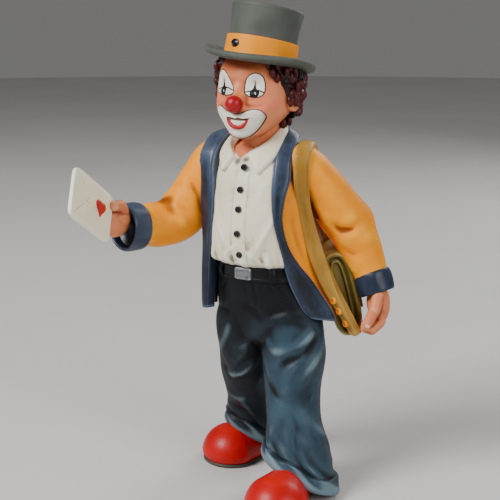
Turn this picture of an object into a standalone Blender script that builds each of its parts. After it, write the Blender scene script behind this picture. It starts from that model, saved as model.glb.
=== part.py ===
# Clown figurine, one painted casting 200 mm tall: top hat, open jacket, shoulder bag, letter in the hand.
# The figure looks toward -Y, its own left hand is on +X, and it stands on the plane z = 0.
# Free forms are set out in shares: 200 shares are the full height.
import bpy
import bmesh
import math
import numpy as np

HEIGHT = 0.200
SHARE = HEIGHT / 200.0
PLAN_SHIFT = (-0.3, 17.2)
WELD = 0.0000005
TRIANGLES = 9300

# Sizes in shares
HAT_TOP_RADIUS = 14.6
HAT_WAIST_RADIUS = 13.7
HAT_HEIGHT = 21.2
HAT_BAND_HEIGHT = 8.3
HAT_LEAN_BACK = 11.0
HAT_LEAN_LEFT = 5.2
BRIM_RADIUS = 22.8
BRIM_CURL = 3.6
BRIM_CURL_LEFT_LESS = 1.5
HEAD_TURN = 5.0
NOSE_RADIUS = 3.4
NOSE_MIDDLE = (-0.6, -18.0, 160.6)
EAR_SIZE = (1.8, 3.1, 4.6)
EAR_MIDDLE = (-1.0, -0.8, 162.0)
EAR_SPREAD = 16.6
BUTTON_RADIUS = 1.3
BUTTON_HEIGHTS = (135.7, 127.0, 119.3, 109.6, 101.0)
BELT_BOTTOM = 89.6
BELT_TOP = 95.8
BUCKLE_SIZE = (7.6, 2.0, 5.4)
LETTER_SIZE = (30.6, 20.0, 1.7)
HEART_SIZE = 7.0
HEART_PLACE = (-5.8, -2.4)
BAG_SIZE = (12.6, 38.0, 36.0)
STRAP_WIDTH = 6.0
STRAP_THICK = 1.5
RIVET_RADIUS = 1.35
SHOE_TOE_RADIUS = 13.5
SHOE_HEEL_RADIUS = 8.2
SHOE_LENGTH = 38.0
SHOE_HEIGHT = 15.6
SOLE_THICK = 1.6

for item in list(bpy.data.objects):
    bpy.data.objects.remove(item, do_unlink=True)


def smooth(stations, count):
    """Cubic curve through the rows of a station table, at `count` even steps of the row number."""
    rows = np.array(stations, float)
    t = np.linspace(0, len(rows) - 1, count)
    i = np.clip(t.astype(int), 0, len(rows) - 2)
    f = (t - i)[:, None]
    slope = np.gradient(rows, axis=0)
    a, b = rows[i], rows[i + 1]
    return ((2 * f**3 - 3 * f**2 + 1) * a + (f**3 - 2 * f**2 + f) * slope[i]
            + (3 * f**2 - 2 * f**3) * b + (f**3 - f**2) * slope[i + 1])


def unit(v):
    """Vectors divided by their own lengths."""
    v = np.asarray(v, float)
    return v / np.maximum(np.linalg.norm(v, axis=-1, keepdims=True), 1e-9)


def bend(value, power):
    """A sine or cosine pressed toward a squarer oval: its size to the power 2/power, sign kept."""
    return np.sign(value) * np.abs(value) ** (2.0 / power)


def round_angles(around):
    """Even angles once round, measured from the front (-Y) toward the figure's left (+X)."""
    return np.linspace(0, 2 * math.pi, around, endpoint=False)


def closed(rings):
    """Closed skin: quads between neighbouring rings and a fan of triangles on the first and last ring."""
    rings = np.asarray(rings, float)
    m, n = rings.shape[:2]
    points = np.vstack([rings.reshape(-1, 3), rings[0].mean(0), rings[-1].mean(0)])
    faces = []
    for i in range(m - 1):
        for j in range(n):
            k = (j + 1) % n
            faces.append((i * n + j, i * n + k, (i + 1) * n + k, (i + 1) * n + j))
    for j in range(n):
        k = (j + 1) % n
        faces.append((m * n, k, j))
        faces.append((m * n + 1, (m - 1) * n + j, (m - 1) * n + k))
    return points, faces


def fold_lift(angle, place, folds):
    """Cloth folds as soft ridges: (angle, place, drift in degrees, width, length, height) for each one."""
    lift = 0 * (angle + place)
    for mid_angle, mid_place, drift, width, length, height in folds:
        off = (np.degrees(angle) - mid_angle - drift * (place - mid_place) + 180) % 360 - 180
        lift = lift + height * np.exp(-(off / width) ** 2 - ((place - mid_place) / length) ** 2)
    return lift


def upright(stations, rows, around, power=2.0, folds=()):
    """Ovals (height, middle x, front y, back y, half width, rise to the back, rise to +X) skinned."""
    z, cx, front, back, half, rise, side = smooth(stations, rows).T[:, :, None]
    a = round_angles(around)
    lift = fold_lift(a, z, folds)
    x = (half + lift) * bend(np.sin(a), power)
    y = -((back - front) / 2 + lift) * bend(np.cos(a), power)
    return closed(np.stack([cx + x, (front + back) / 2 + y, z + rise * y + side * x], axis=-1))


def tube(stations, rows, around, guide, folds=()):
    """Rings square to a bent centre line (x, y, z, radius); `guide` fixes their turn round the line."""
    table = smooth(stations, rows)
    line, radius = table[:, :3], table[:, 3]
    along = unit(np.gradient(line, axis=0))
    side = unit(np.cross(along, np.array(guide, float)))
    lift = np.cross(side, along)
    a = round_angles(around)[None, :]
    ring = side[:, None] * np.sin(a)[..., None] + lift[:, None] * np.cos(a)[..., None]
    reach = radius[:, None] + fold_lift(a, np.linspace(0, 1, rows)[:, None], folds)
    return closed(line[:, None] + ring * reach[..., None])


def strip(edge_a, edge_b, thick, rows, across=2):
    """A flat band between two edge lines; `thick` goes from the outer skin inward, one value or a table."""
    a, b = smooth(edge_a, rows), smooth(edge_b, rows)
    u = np.linspace(0, 1, across)[None, :, None]
    top = a[:, None] * (1 - u) + b[:, None] * u
    run = np.gradient(top, axis=0)
    out = unit(np.cross(run, np.broadcast_to((b - a)[:, None], top.shape)))
    depth = np.interp(np.linspace(0, 1, rows), np.linspace(0, 1, np.size(thick)), np.ravel(thick))
    under = top - out * depth[:, None, None]
    return closed(np.concatenate([top, under[:, ::-1]], axis=1))


def ball(centre, radii, rows=7, around=12, axes=None):
    """A ball pressed to three radii, its poles on the third axis."""
    v = np.linspace(-math.pi / 2, math.pi / 2, rows + 2)[1:-1][:, None]
    a = round_angles(around)[None, :]
    local = np.stack([np.cos(v) * np.sin(a) * radii[0], -np.cos(v) * np.cos(a) * radii[1],
                      np.sin(v) * radii[2] + 0 * a], axis=-1)
    frame = np.eye(3) if axes is None else np.array(axes, float)
    points, faces = closed(local @ frame)
    points[-2] = np.array([0, 0, -radii[2]]) @ frame
    points[-1] = np.array([0, 0, radii[2]]) @ frame
    return points + np.array(centre, float), faces


def capsule(start, end, radius, around=7):
    """A finger joint: a round rod with blunt ends."""
    start, end = np.array(start, float), np.array(end, float)
    step = unit(end - start) * radius
    stations = [(*(start - step * 0.8), radius * 0.55), (*(start - step * 0.2), radius),
                (*(end + step * 0.2), radius), (*(end + step * 0.8), radius * 0.5)]
    line = np.array(stations)
    guide = (0, 0, 1) if abs(unit(end - start)[2]) < 0.8 else (0, 1, 0)
    side = unit(np.cross(step, np.array(guide, float)))
    lift = unit(np.cross(side, step))
    a = round_angles(around)[None, :, None]
    ring = side * np.sin(a) + lift * np.cos(a)
    return closed(line[:, None, :3] + ring * line[:, None, 3:4])


def block(centre, size, axes=None, corner=0.0, power=8.0, around=24):
    """A slab with rounded corners in plan: `size` is its two plan sides and its thickness."""
    a = round_angles(around)
    x = bend(np.sin(a), power) * size[0] / 2
    y = -bend(np.cos(a), power) * size[1] / 2
    rows = []
    for share, inset in ((-0.5, corner), (-0.5 + 0.25, 0.0), (0.5 - 0.25, 0.0), (0.5, corner)):
        rows.append(np.stack([x * (1 - 2 * inset / size[0]), y * (1 - 2 * inset / size[1]),
                              0 * x + share * size[2]], axis=-1))
    frame = np.eye(3) if axes is None else np.array(axes, float)
    points, faces = closed(np.array(rows) @ frame)
    return points + np.array(centre, float), faces


def lean(points, pivot, back, left):
    """Points tipped back (top toward +Y) and to the figure's left (+X) about a pivot, in degrees."""
    p = points - np.array(pivot, float)
    a, b = math.radians(back), math.radians(left)
    tip = np.array([[1, 0, 0], [0, math.cos(a), -math.sin(a)], [0, math.sin(a), math.cos(a)]])
    roll = np.array([[math.cos(b), 0, math.sin(b)], [0, 1, 0], [-math.sin(b), 0, math.cos(b)]])
    flip = np.array([[1, 0, 0], [0, -1, 0], [0, 0, 1]])
    return (p @ flip @ tip.T @ flip) @ roll.T + np.array(pivot, float)


def turn(points, pivot, degrees):
    """Points turned about an upright line; a positive turn carries the front toward +X."""
    p = points - np.array(pivot, float)
    a = math.radians(degrees)
    spin = np.array([[math.cos(a), -math.sin(a), 0], [math.sin(a), math.cos(a), 0], [0, 0, 1]])
    return p @ spin.T + np.array(pivot, float)


# Station tables

TRUNK = [  # height, middle x, front y, back y, half width, rise toward the back, rise toward +X
    (145.0, -0.4, -7.2, 8.0, 7.2, 0.34, 0), (142.6, -1.0, -9.8, 9.4, 12.8, 0.30, 0),
    (139.8, -0.8, -12.2, 10.8, 16.6, 0.24, 0), (136.2, 0.0, -14.0, 11.8, 18.0, 0.16, 0),
    (131.0, 0.0, -15.6, 12.8, 19.2, 0.06, 0), (124.0, 0.0, -17.0, 13.2, 19.5, 0, 0),
    (117.0, 0.0, -18.3, 13.2, 19.6, 0, 0), (110.0, 0.0, -19.0, 13.2, 19.9, 0, 0),
    (103.5, 0.2, -18.6, 13.4, 20.5, 0, 0), (98.8, 0.4, -17.7, 13.6, 21.0, 0, 0),
    (96.4, 0.5, -16.4, 13.4, 20.4, 0, 0), (94.6, 0.5, -12.5, 11.5, 17.0, 0, 0)]

HIPS = [
    (97.0, 0.5, -13.0, 12.5, 18.0, 0, 0), (92.0, 0.8, -14.0, 13.0, 19.2, 0, 0),
    (86.0, 1.6, -13.8, 13.6, 20.6, 0, 0), (78.0, 3.0, -13.0, 14.2, 22.4, 0, 0),
    (70.0, 4.2, -12.0, 13.8, 23.4, 0, 0), (63.5, 5.0, -9.8, 12.2, 22.0, 0, 0),
    (59.5, 5.4, -5.0, 8.0, 15.0, 0, 0)]

RIGHT_LEG = [
    (82.0, -5.5, -8.0, 10.0, 9.0, 0, 0), (73.0, -7.0, -11.6, 13.2, 12.4, 0, 0),
    (62.5, -8.0, -10.6, 13.8, 12.2, 0, 0), (52.0, -9.4, -7.2, 14.8, 11.2, 0, 0),
    (42.0, -10.6, -3.6, 16.8, 10.4, 0, 0), (33.0, -11.6, 0.2, 19.8, 9.8, -0.04, 0),
    (25.0, -12.4, 3.2, 23.4, 10.0, -0.12, -0.08), (17.5, -13.0, 5.0, 27.6, 11.6, -0.24, -0.2),
    (11.0, -13.2, 5.4, 31.0, 13.2, -0.32, -0.3), (8.6, -13.2, 6.8, 30.6, 12.4, -0.34, -0.32)]
RIGHT_LEG_FOLDS = [  # angle, height, drift in degrees, width, length, height of the ridge
    (40, 60, 2.4, 16, 9, 1.0), (5, 50, 2.2, 15, 9, 0.8), (-40, 63, -1.6, 16, 9, 0.8),
    (-60, 44, -1.2, 18, 9, 0.7), (60, 40, 1.8, 16, 8, 0.8), (20, 26, -1.5, 14, 6, 0.9),
    (-50, 22, 1.2, 16, 6, 0.9), (150, 60, 2.0, 18, 10, 0.8),
    (200, 46, -2.0, 18, 9, 0.8), (130, 26, 1.4, 18, 7, 0.9), (235, 24, -1.0, 18, 7, 0.8)]

LEFT_LEG = [
    (82.0, 11.0, -7.5, 10.5, 9.0, 0, 0), (72.0, 13.6, -11.4, 14.2, 12.6, 0, 0),
    (61.0, 14.8, -12.6, 14.0, 13.2, 0, 0), (51.0, 15.8, -13.4, 11.6, 12.4, 0, 0),
    (41.0, 16.8, -14.2, 9.0, 11.6, 0, 0), (31.0, 18.4, -15.8, 7.0, 11.4, -0.04, 0),
    (23.0, 20.4, -18.2, 6.6, 12.6, -0.12, -0.12), (15.4, 22.4, -21.4, 7.4, 14.4, -0.2, -0.3),
    (10.0, 23.6, -23.6, 8.0, 16.0, -0.24, -0.42), (7.9, 23.6, -21.8, 7.0, 14.9, -0.24, -0.40)]
LEFT_LEG_FOLDS = [
    (38, 58, 2.4, 14, 13, 1.3), (66, 56, 2.2, 13, 10, 1.0), (4, 62, 1.6, 14, 8, 0.7),
    (10, 40, 1.4, 18, 6, 0.9), (52, 30, -1.6, 14, 9, 1.0),
    (84, 26, -1.2, 14, 8, 0.9), (16, 24, -0.8, 15, 6, 0.8),
    (-28, 30, 1.2, 16, 9, 0.8), (112, 56, -2.0, 18, 11, 0.9), (160, 60, 2.0, 18, 10, 0.8),
    (190, 40, -2.0, 18, 9, 0.9), (140, 24, 1.2, 18, 7, 0.9), (230, 22, -1.0, 18, 7, 0.8)]

JACKET = [  # height, middle x, front y, back y, half width, rise, left and right edge angle from the front
    (145.4, -0.6, -5.4, 10.4, 10.6, 0.30, 66, 72), (142.8, -1.2, -8.8, 12.2, 15.8, 0.26, 56, 62),
    (139.2, -1.4, -11.8, 13.6, 19.8, 0.18, 46, 50), (133.0, -1.0, -14.2, 14.8, 21.4, 0.08, 42, 43),
    (124.0, -0.3, -16.6, 15.4, 21.6, 0, 42, 44), (114.0, 0.3, -17.6, 15.4, 21.8, 0, 43, 45),
    (104.0, 0.8, -17.2, 15.4, 22.6, 0, 47, 47), (95.0, 1.4, -16.0, 16.0, 23.8, 0, 52, 53),
    (86.0, 2.2, -15.0, 17.4, 25.4, 0, 60, 55), (79.0, 2.8, -14.8, 18.8, 26.8, 0, 68, 55),
    (75.4, 3.0, -14.6, 19.4, 27.4, 0, 72, 55)]
JACKET_FOLDS = [
    (110, 84, 0.6, 16, 12, 1.1), (150, 82, -0.5, 16, 14, 1.2), (190, 84, 0.4, 16, 13, 1.1),
    (225, 82, 0.2, 15, 12, 1.0), (262, 84, -0.4, 16, 12, 0.9), (160, 112, 2.0, 18, 9, 0.8),
    (205, 116, -2.0, 18, 9, 0.8), (95, 108, 1.5, 16, 8, 0.6)]
JACKET_THICK = 2.6

LAPEL_LEFT = (
    [(0.0, 9.8, 150.8), (5.4, 8.4, 150.6), (8.4, 4.2, 149.2), (9.6, -2.0, 145.6), (10.9, -9.0, 138.8),
     (12.0, -12.9, 131.0), (12.5, -14.2, 123.0), (13.8, -14.6, 114.0), (16.4, -12.9, 102.0),
     (18.7, -10.4, 90.0), (22.6, -6.6, 78.6), (25.6, -4.2, 74.6)],
    [(0.0, 13.8, 145.2), (8.0, 12.0, 145.4), (13.0, 7.4, 146.0), (16.0, 0.4, 144.0), (16.9, -6.8, 138.2),
     (17.6, -9.4, 131.0), (16.8, -12.2, 123.0), (16.8, -13.4, 114.0), (19.6, -10.8, 102.0),
     (25.6, -4.4, 90.0), (31.6, 0.4, 78.0), (32.6, 2.6, 73.0)],
    (2.4, 2.6, 3.0, 4.0, 4.4, 4.0, 3.6, 3.2, 3.0, 2.6, 2.0, 1.8))
LAPEL_RIGHT = (
    [(0.0, 9.8, 150.8), (-5.6, 8.4, 150.6), (-10.0, 5.0, 149.4), (-13.4, -0.4, 146.4), (-14.9, -6.8, 140.4),
     (-14.6, -11.2, 132.6), (-14.0, -13.4, 124.4), (-14.2, -14.7, 114.8), (-16.2, -13.2, 102.0),
     (-17.2, -12.8, 90.0), (-17.6, -13.0, 80.0), (-17.8, -12.9, 75.0)],
    [(0.0, 13.8, 145.2), (-8.2, 12.0, 145.2), (-16.0, 8.0, 145.0), (-21.9, 0.4, 144.8), (-22.5, -6.5, 139.4),
     (-22.6, -8.6, 132.0), (-21.6, -10.4, 123.8), (-20.8, -11.4, 114.2), (-21.2, -10.4, 102.0),
     (-21.6, -10.6, 90.0), (-21.4, -11.0, 80.0), (-21.2, -11.0, 74.6)],
    (2.4, 2.6, 3.0, 4.0, 4.4, 4.0, 3.6, 3.2, 3.0, 2.6, 2.2, 2.0))

COLLAR_LEFT = (
    [(0.0, 8.4, 152.2), (5.8, 6.2, 152.0), (8.2, 0.8, 150.2), (6.4, -5.6, 146.0), (0.6, -11.8, 140.6)],
    [(0.0, 10.6, 147.6), (8.2, 8.0, 147.4), (11.6, 0.8, 145.6), (11.4, -8.6, 140.0), (6.8, -14.8, 133.6)],
    (2.6, 2.8, 3.2, 3.6, 2.6))
COLLAR_RIGHT = (
    [(0.0, 8.4, 152.2), (-5.8, 6.2, 152.0), (-8.8, 0.8, 150.0), (-9.4, -6.0, 145.4), (-4.6, -12.0, 139.9)],
    [(0.0, 10.6, 147.6), (-8.6, 8.0, 147.2), (-12.6, 0.8, 145.2), (-14.0, -8.6, 139.4), (-9.8, -14.4, 133.4)],
    (2.6, 2.8, 3.2, 3.6, 2.6))

RIGHT_SLEEVE = [
    (-13.0, 1.0, 137.4, 6.4), (-20.4, -0.6, 135.6, 9.2), (-25.2, -2.8, 127.8, 9.9),
    (-29.4, -5.8, 119.6, 10.1), (-33.2, -9.4, 112.6, 10.2), (-36.2, -14.4, 110.0, 9.8),
    (-38.6, -20.2, 109.6, 9.0), (-41.0, -28.0, 110.1, 8.3), (-41.6, -29.8, 110.2, 7.2)]
RIGHT_CUFF = [
    (-40.9, -27.6, 110.1, 7.6), (-41.1, -28.2, 110.2, 9.3), (-42.0, -31.2, 110.4, 9.6),
    (-43.4, -35.6, 110.7, 9.5), (-43.7, -36.6, 110.8, 9.1), (-43.7, -36.6, 110.8, 7.0)]
LEFT_SLEEVE = [
    (12.0, 1.5, 138.4, 6.0), (17.0, 1.8, 135.8, 8.8), (22.8, 5.8, 128.6, 9.3), (28.2, 10.0, 120.2, 9.5),
    (32.8, 13.6, 112.0, 9.8), (37.2, 14.9, 103.4, 9.0), (40.8, 15.0, 96.6, 7.6), (43.9, 14.6, 89.6, 6.6),
    (44.8, 14.5, 88.0, 5.6)]
SLEEVE_FOLDS = [  # angle, share of the length, drift, width, length, height of the ridge
    (40, 0.50, 260, 34, 0.07, 0.9), (120, 0.62, -240, 34, 0.06, 0.8), (220, 0.42, 240, 34, 0.07, 0.8),
    (300, 0.56, -260, 34, 0.06, 0.8), (180, 0.74, 200, 34, 0.05, 0.6), (20, 0.78, -200, 34, 0.05, 0.6)]
LEFT_CUFF = [
    (43.2, 14.8, 92.4, 5.6), (43.4, 14.8, 92.0, 7.0), (44.9, 14.5, 88.2, 7.3), (46.4, 14.2, 84.4, 7.2),
    (46.6, 14.1, 83.8, 6.8), (46.6, 14.1, 83.8, 5.0)]

HEAD = [  # height, middle x, front y, back y, half width
    (146.6, -1.0, -13.6, -5.0, 3.2), (147.5, -1.0, -15.0, -2.0, 6.0), (150.0, -1.0, -15.8, 2.6, 8.8),
    (153.5, -1.0, -16.2, 7.4, 11.8), (158.0, -1.0, -16.4, 11.8, 14.8), (163.0, -1.0, -16.2, 14.4, 16.2),
    (168.5, -1.0, -15.6, 15.2, 15.9), (174.0, -1.0, -14.4, 15.0, 15.0), (178.5, -1.0, -11.6, 13.0, 12.6),
    (181.0, -1.0, -7.0, 8.6, 7.6)]
FACE_FORMS = [  # angle, height, drift, width, length, rise: cheeks, eye hollows, brow, bridge, mouth, chin
    (40, 157.5, 0, 20, 4.2, 0.9), (-40, 157.5, 0, 20, 4.2, 0.9), (25, 168.0, 0, 12, 3.6, -0.9),
    (-25, 168.0, 0, 12, 3.6, -0.9), (0, 172.5, 0, 40, 2.6, 0.4), (0, 165.0, 0, 9, 4.0, 1.4),
    (0, 153.0, 0, 22, 3.0, 1.3), (0, 148.6, 0, 16, 1.6, 0.6)]
HEAD_PIVOT = (-0.6, 0.0, 163.0)
NECK = [(-0.4, 2.0, 136.0, 7.6), (-0.4, 1.8, 143.0, 7.8), (-0.5, 1.2, 149.0, 8.2), (-0.6, 0.6, 154.0, 8.6)]

RIGHT_SHOE = ((-18.9, 7.4), 27.0)
LEFT_SHOE = ((24.3, -29.8), -5.0)

STRAP_LINE = [  # x, y, z of the middle line, front bag end, over the shoulder, rear bag end
    (39.8, 6.4, 66.9), (35.9, 2.2, 77.4), (31.9, -0.6, 86.7), (28.6, -2.8, 96.9), (25.0, -3.8, 108.0),
    (21.9, -4.9, 120.7), (21.8, -6.8, 134.4), (21.5, -4.8, 141.3), (19.6, 2.7, 144.9), (18.0, 10.0, 141.8),
    (17.4, 14.4, 132.0), (17.0, 17.6, 119.0), (16.6, 22.0, 107.0), (16.6, 30.0, 98.0), (16.6, 38.0, 92.0)]
STRAP_OUT = [
    (-0.55, -0.83, 0.0), (-0.5, -0.86, 0.05), (-0.2, -0.97, 0.1), (0.25, -0.95, 0.1), (0.4, -0.9, 0.05),
    (0.5, -0.86, 0.1), (0.5, -0.84, 0.2), (0.42, -0.7, 0.58), (0.15, -0.05, 1.0), (0.2, 0.6, 0.78),
    (0.3, 0.92, 0.25), (0.3, 0.92, 0.25), (0.3, 0.8, 0.5), (0.3, 0.75, 0.6), (0.3, 0.75, 0.6)]

BAG_MIDDLE = (24.4, 24.6, 82.6)
BAG_THICK_AXIS = unit((0.84, 0.485, 0.243))
BAG_LENGTH_AXIS = unit((-0.5, 0.866, 0.0))
BAG_RISE_AXIS = unit(np.cross(BAG_THICK_AXIS, BAG_LENGTH_AXIS))

LETTER_MIDDLE = (-38.4, -62.4, 124.5)
LETTER_LONG_AXIS = unit((0.09, -0.836, 0.542))
LETTER_DOWN_AXIS = unit((0.233, -0.512, -0.826))
LETTER_FACE_AXIS = unit(np.cross(LETTER_DOWN_AXIS, LETTER_LONG_AXIS))

pieces = {}


def keep(name, shape):
    """Put one closed skin on the list of pieces that the casting is made of."""
    pieces[name] = shape


# Body, clothes and limbs
keep("trunk", upright(TRUNK, 14, 24, 2.1))
keep("hips", upright(HIPS, 8, 22, 2.2))
BELT = [
    (BELT_BOTTOM, 0.9, -14.6, 13.6, 19.8, 0, 0), (BELT_BOTTOM + 0.3, 0.9, -15.0, 13.8, 20.2, 0, 0),
    (BELT_TOP, 0.6, -14.9, 13.6, 19.4, 0, 0), (BELT_TOP + 0.2, 0.6, -13.0, 12.0, 17.0, 0, 0)]
keep("belt", upright(BELT, 4, 22, 2.15))
keep("right leg", upright(RIGHT_LEG, 17, 22, 2.0, RIGHT_LEG_FOLDS))
keep("left leg", upright(LEFT_LEG, 17, 22, 2.0, LEFT_LEG_FOLDS))


def jacket_shell(rows, around):
    """Open ring round the back: outer wall from the left front edge to the right one, then back inside."""
    s = smooth(JACKET, rows).T[:, :, None]
    z, cx, front, back, half, rise, left, right = s
    t = np.linspace(0, 1, around)[None, :]
    a = np.radians(left + (360 - right - left) * t)
    lift = fold_lift(a, z, JACKET_FOLDS)
    wall = []
    for inset in (0.0, JACKET_THICK):
        x = (half - inset + lift) * np.sin(a)
        y = -((back - front) / 2 - inset + lift) * np.cos(a)
        wall.append(np.stack([cx + x, (front + back) / 2 + y, z + rise * y], axis=-1))
    return closed(np.concatenate([wall[0], wall[1][:, ::-1]], axis=1))


def fixed_caps(shape, rows, half_count):
    """Both ends of an open ring closed by quads between its outer and inner wall, not by a fan."""
    points, faces = shape
    n = 2 * half_count
    last = (rows - 1) * n
    faces = [f for f in faces if rows * n not in f and rows * n + 1 not in f]
    for j in range(half_count - 1):
        faces.append((j + 1, j, n - 1 - j, n - 2 - j))
        faces.append((last + j, last + j + 1, last + n - 2 - j, last + n - 1 - j))
    return points[:rows * n], faces


keep("jacket", fixed_caps(jacket_shell(12, 17), 12, 17))
keep("left lapel", strip(*LAPEL_LEFT, 18, 2))
keep("right lapel", strip(LAPEL_RIGHT[1], LAPEL_RIGHT[0], LAPEL_RIGHT[2], 18, 2))
keep("left collar", strip(*COLLAR_LEFT, 8, 2))
keep("right collar", strip(COLLAR_RIGHT[1], COLLAR_RIGHT[0], COLLAR_RIGHT[2], 8, 2))
keep("right sleeve", tube(RIGHT_SLEEVE, 13, 14, (0, 0, 1), SLEEVE_FOLDS))
keep("right cuff", tube(RIGHT_CUFF, 6, 16, (0, 0, 1)))
keep("left sleeve", tube(LEFT_SLEEVE, 13, 14, (0, 1, 0), SLEEVE_FOLDS))
keep("left cuff", tube(LEFT_CUFF, 6, 16, (0, 1, 0)))


def front_of_trunk(z, x=0.0):
    """Front y of the trunk's oval at a height and a sideways place."""
    table = smooth(TRUNK, 200)[::-1]
    front = np.interp(z, table[:, 0], table[:, 2])
    back = np.interp(z, table[:, 0], table[:, 3])
    half = np.interp(z, table[:, 0], table[:, 4])
    return (front + back) / 2 - (back - front) / 2 * math.sqrt(1 - (x / half) ** 2)


for number, z in enumerate(BUTTON_HEIGHTS):
    place = (0.2, front_of_trunk(z) + 0.1, z)
    keep(f"button {number + 1}", ball(place, (BUTTON_RADIUS, 0.9, BUTTON_RADIUS), 3, 8))
keep("buckle", block((0.6, -15.2, 92.7), (BUCKLE_SIZE[0], BUCKLE_SIZE[2], BUCKLE_SIZE[1]),
                     ((1, 0, 0), (0, 0, 1), (0, -1, 0)), 0.4, 7.0, 12))

# Head, nose, ears and hair
keep("neck", tube(NECK, 5, 16, (0, 1, 0)))


def head_rings(rows, around):
    """Level ovals of the head with the soft forms of the face, and the angle and height of each point."""
    z, cx, front, back, half = smooth(HEAD, rows).T[:, :, None]
    a = round_angles(around)
    lift = fold_lift(a, z, FACE_FORMS)
    x = cx + (half + lift) * bend(np.sin(a), 2.15)
    y = (front + back) / 2 - ((back - front) / 2 + lift) * bend(np.cos(a), 2.15)
    return np.stack([x, y, z + 0 * x], axis=-1), a, z


points, faces = closed(head_rings(17, 26)[0])
keep("head", (turn(points, HEAD_PIVOT, -HEAD_TURN), faces))


def hair_skin(rows, around, lumps):
    """Hair over the back and sides: the head's ovals grown behind the hair line and sunk before it."""
    rings, a, z = head_rings(rows, around)
    side = np.abs((a + math.pi) % (2 * math.pi) - math.pi)
    line = np.radians(np.interp(z, (146.0, 155.0, 160.0, 166.0, 176.0), (128.0, 112.0, 84.0, 66.0, 46.0)))
    hold = np.clip((side - line) / 0.22, 0, 1)
    curl = 0.75 * np.cos(lumps * a + 0.9 * z) * np.cos(0.95 * z + 2.2 * np.sin(3 * a))
    low = np.interp(z, (146.5, 153.0, 160.0, 180.0, 183.5), (0.2, 0.7, 1.0, 1.0, 0.2))
    grow = (-1.6 + hold * (4.2 + curl)) * low
    middle = rings.mean(axis=1, keepdims=True)
    return closed(middle + (rings - middle) * (1 + grow / 15.0)[..., None])


HAT_FOOT = (-1.0, 0.2, 176.3)
points, faces = hair_skin(13, 30, 9)
points = turn(points, HEAD_PIVOT, -HEAD_TURN)
brim_height = (HAT_FOOT[2] - 0.4 - (points[:, 1] - HAT_FOOT[1]) * math.tan(math.radians(HAT_LEAN_BACK))
               - (points[:, 0] - HAT_FOOT[0]) * math.tan(math.radians(HAT_LEAN_LEFT)))
points[:, 2] = np.minimum(points[:, 2], brim_height)
keep("hair", (points, faces))
for side, name in ((1, "left ear"), (-1, "right ear")):
    place = (EAR_MIDDLE[0] + side * EAR_SPREAD, EAR_MIDDLE[1], EAR_MIDDLE[2])
    points, faces = ball(place, EAR_SIZE, 4, 8)
    keep(name, (turn(points, HEAD_PIVOT, -HEAD_TURN), faces))
points, faces = ball(NOSE_MIDDLE, (NOSE_RADIUS,) * 3, 6, 12)
keep("nose", (turn(points, HEAD_PIVOT, -HEAD_TURN), faces))

# Top hat, tipped back


def hat_ring(radius, height, around, curl=0.0):
    """One ring of the hat; the curl lifts its two sides, the left one less, and drops front and back."""
    a = round_angles(around)
    lift = curl * (np.sin(a) ** 2 - 0.35)
    lift = lift - BRIM_CURL_LEFT_LESS * curl / BRIM_CURL * np.clip(np.sin(a), 0, 1) ** 2
    return np.stack([radius * np.sin(a) * 0.985, -radius * np.cos(a) * 1.015, height + lift], axis=-1)


def hat_piece(profile, around):
    """Rings from a profile of (radius, height, curl), set on the head and tipped."""
    points, faces = closed(np.array([hat_ring(r, h, around, c) for r, h, c in profile]))
    return lean(points + np.array(HAT_FOOT), HAT_FOOT, HAT_LEAN_BACK, HAT_LEAN_LEFT), faces


keep("hat brim", hat_piece([
    (12.4, -1.6, 0.3), (16.4, -1.6, 1.4), (20.4, -1.3, BRIM_CURL * 0.8), (BRIM_RADIUS - 0.5, -0.6, BRIM_CURL),
    (BRIM_RADIUS, 0.5, BRIM_CURL), (BRIM_RADIUS - 0.5, 1.5, BRIM_CURL), (BRIM_RADIUS - 1.5, 1.7, BRIM_CURL),
    (20.2, 1.1, BRIM_CURL * 0.8), (16.6, 0.6, 1.4), (13.2, 0.6, 0.3)], 28))
keep("hat crown", hat_piece([
    (13.4, -1.2, 0.0), (13.9, 0.6, 0.0), (HAT_WAIST_RADIUS, 7.0, 0.0), (HAT_WAIST_RADIUS + 0.1, 12.0, 0.0),
    (HAT_TOP_RADIUS - 0.2, 18.8, 0.0), (HAT_TOP_RADIUS, 20.2, 0.0), (HAT_TOP_RADIUS - 0.3, 20.9, 0.0),
    (HAT_TOP_RADIUS - 1.2, HAT_HEIGHT, 0.0)], 28))
keep("hat band", hat_piece([
    (13.4, 0.2, 0.0), (14.9, 0.3, 0.0),
    (14.5, HAT_BAND_HEIGHT - 0.1, 0.0), (13.2, HAT_BAND_HEIGHT, 0.0)], 28))

# Shoes


def shoe_rings(toe, heading, levels, around, grow=0.0):
    """Plan egg from a wide round toe to a narrow heel, drawn in toward the top like half a ball."""
    a = round_angles(around)
    rings = []
    for level in levels:
        draw = (1 - level ** 2.4) ** 0.5
        tuck = 1.0 - 0.14 * (1 - min(level / 0.28, 1.0)) ** 2
        toe_r = (SHOE_TOE_RADIUS + grow) * draw * tuck
        heel_r = (SHOE_HEEL_RADIUS + grow) * draw * tuck
        half = SHOE_LENGTH - SHOE_TOE_RADIUS - SHOE_HEEL_RADIUS
        front = np.cos(a) > 0
        radius = np.where(front, toe_r, heel_r + (toe_r - heel_r) * (1 - np.abs(np.cos(a)) ** 0.8))
        x = radius * np.sin(a)
        y = np.where(front, -toe_r * np.cos(a), -(half + heel_r) * np.cos(a))
        z = SOLE_THICK * 0.5 + level * (SHOE_HEIGHT - SOLE_THICK * 0.5)
        rings.append(np.stack([x, y, z + 0 * x], axis=-1))
    rings = np.array(rings)
    turned = turn(rings.reshape(-1, 3), (0, 0, 0), -heading).reshape(rings.shape)
    return turned + np.array([toe[0], toe[1], 0.0])


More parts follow.
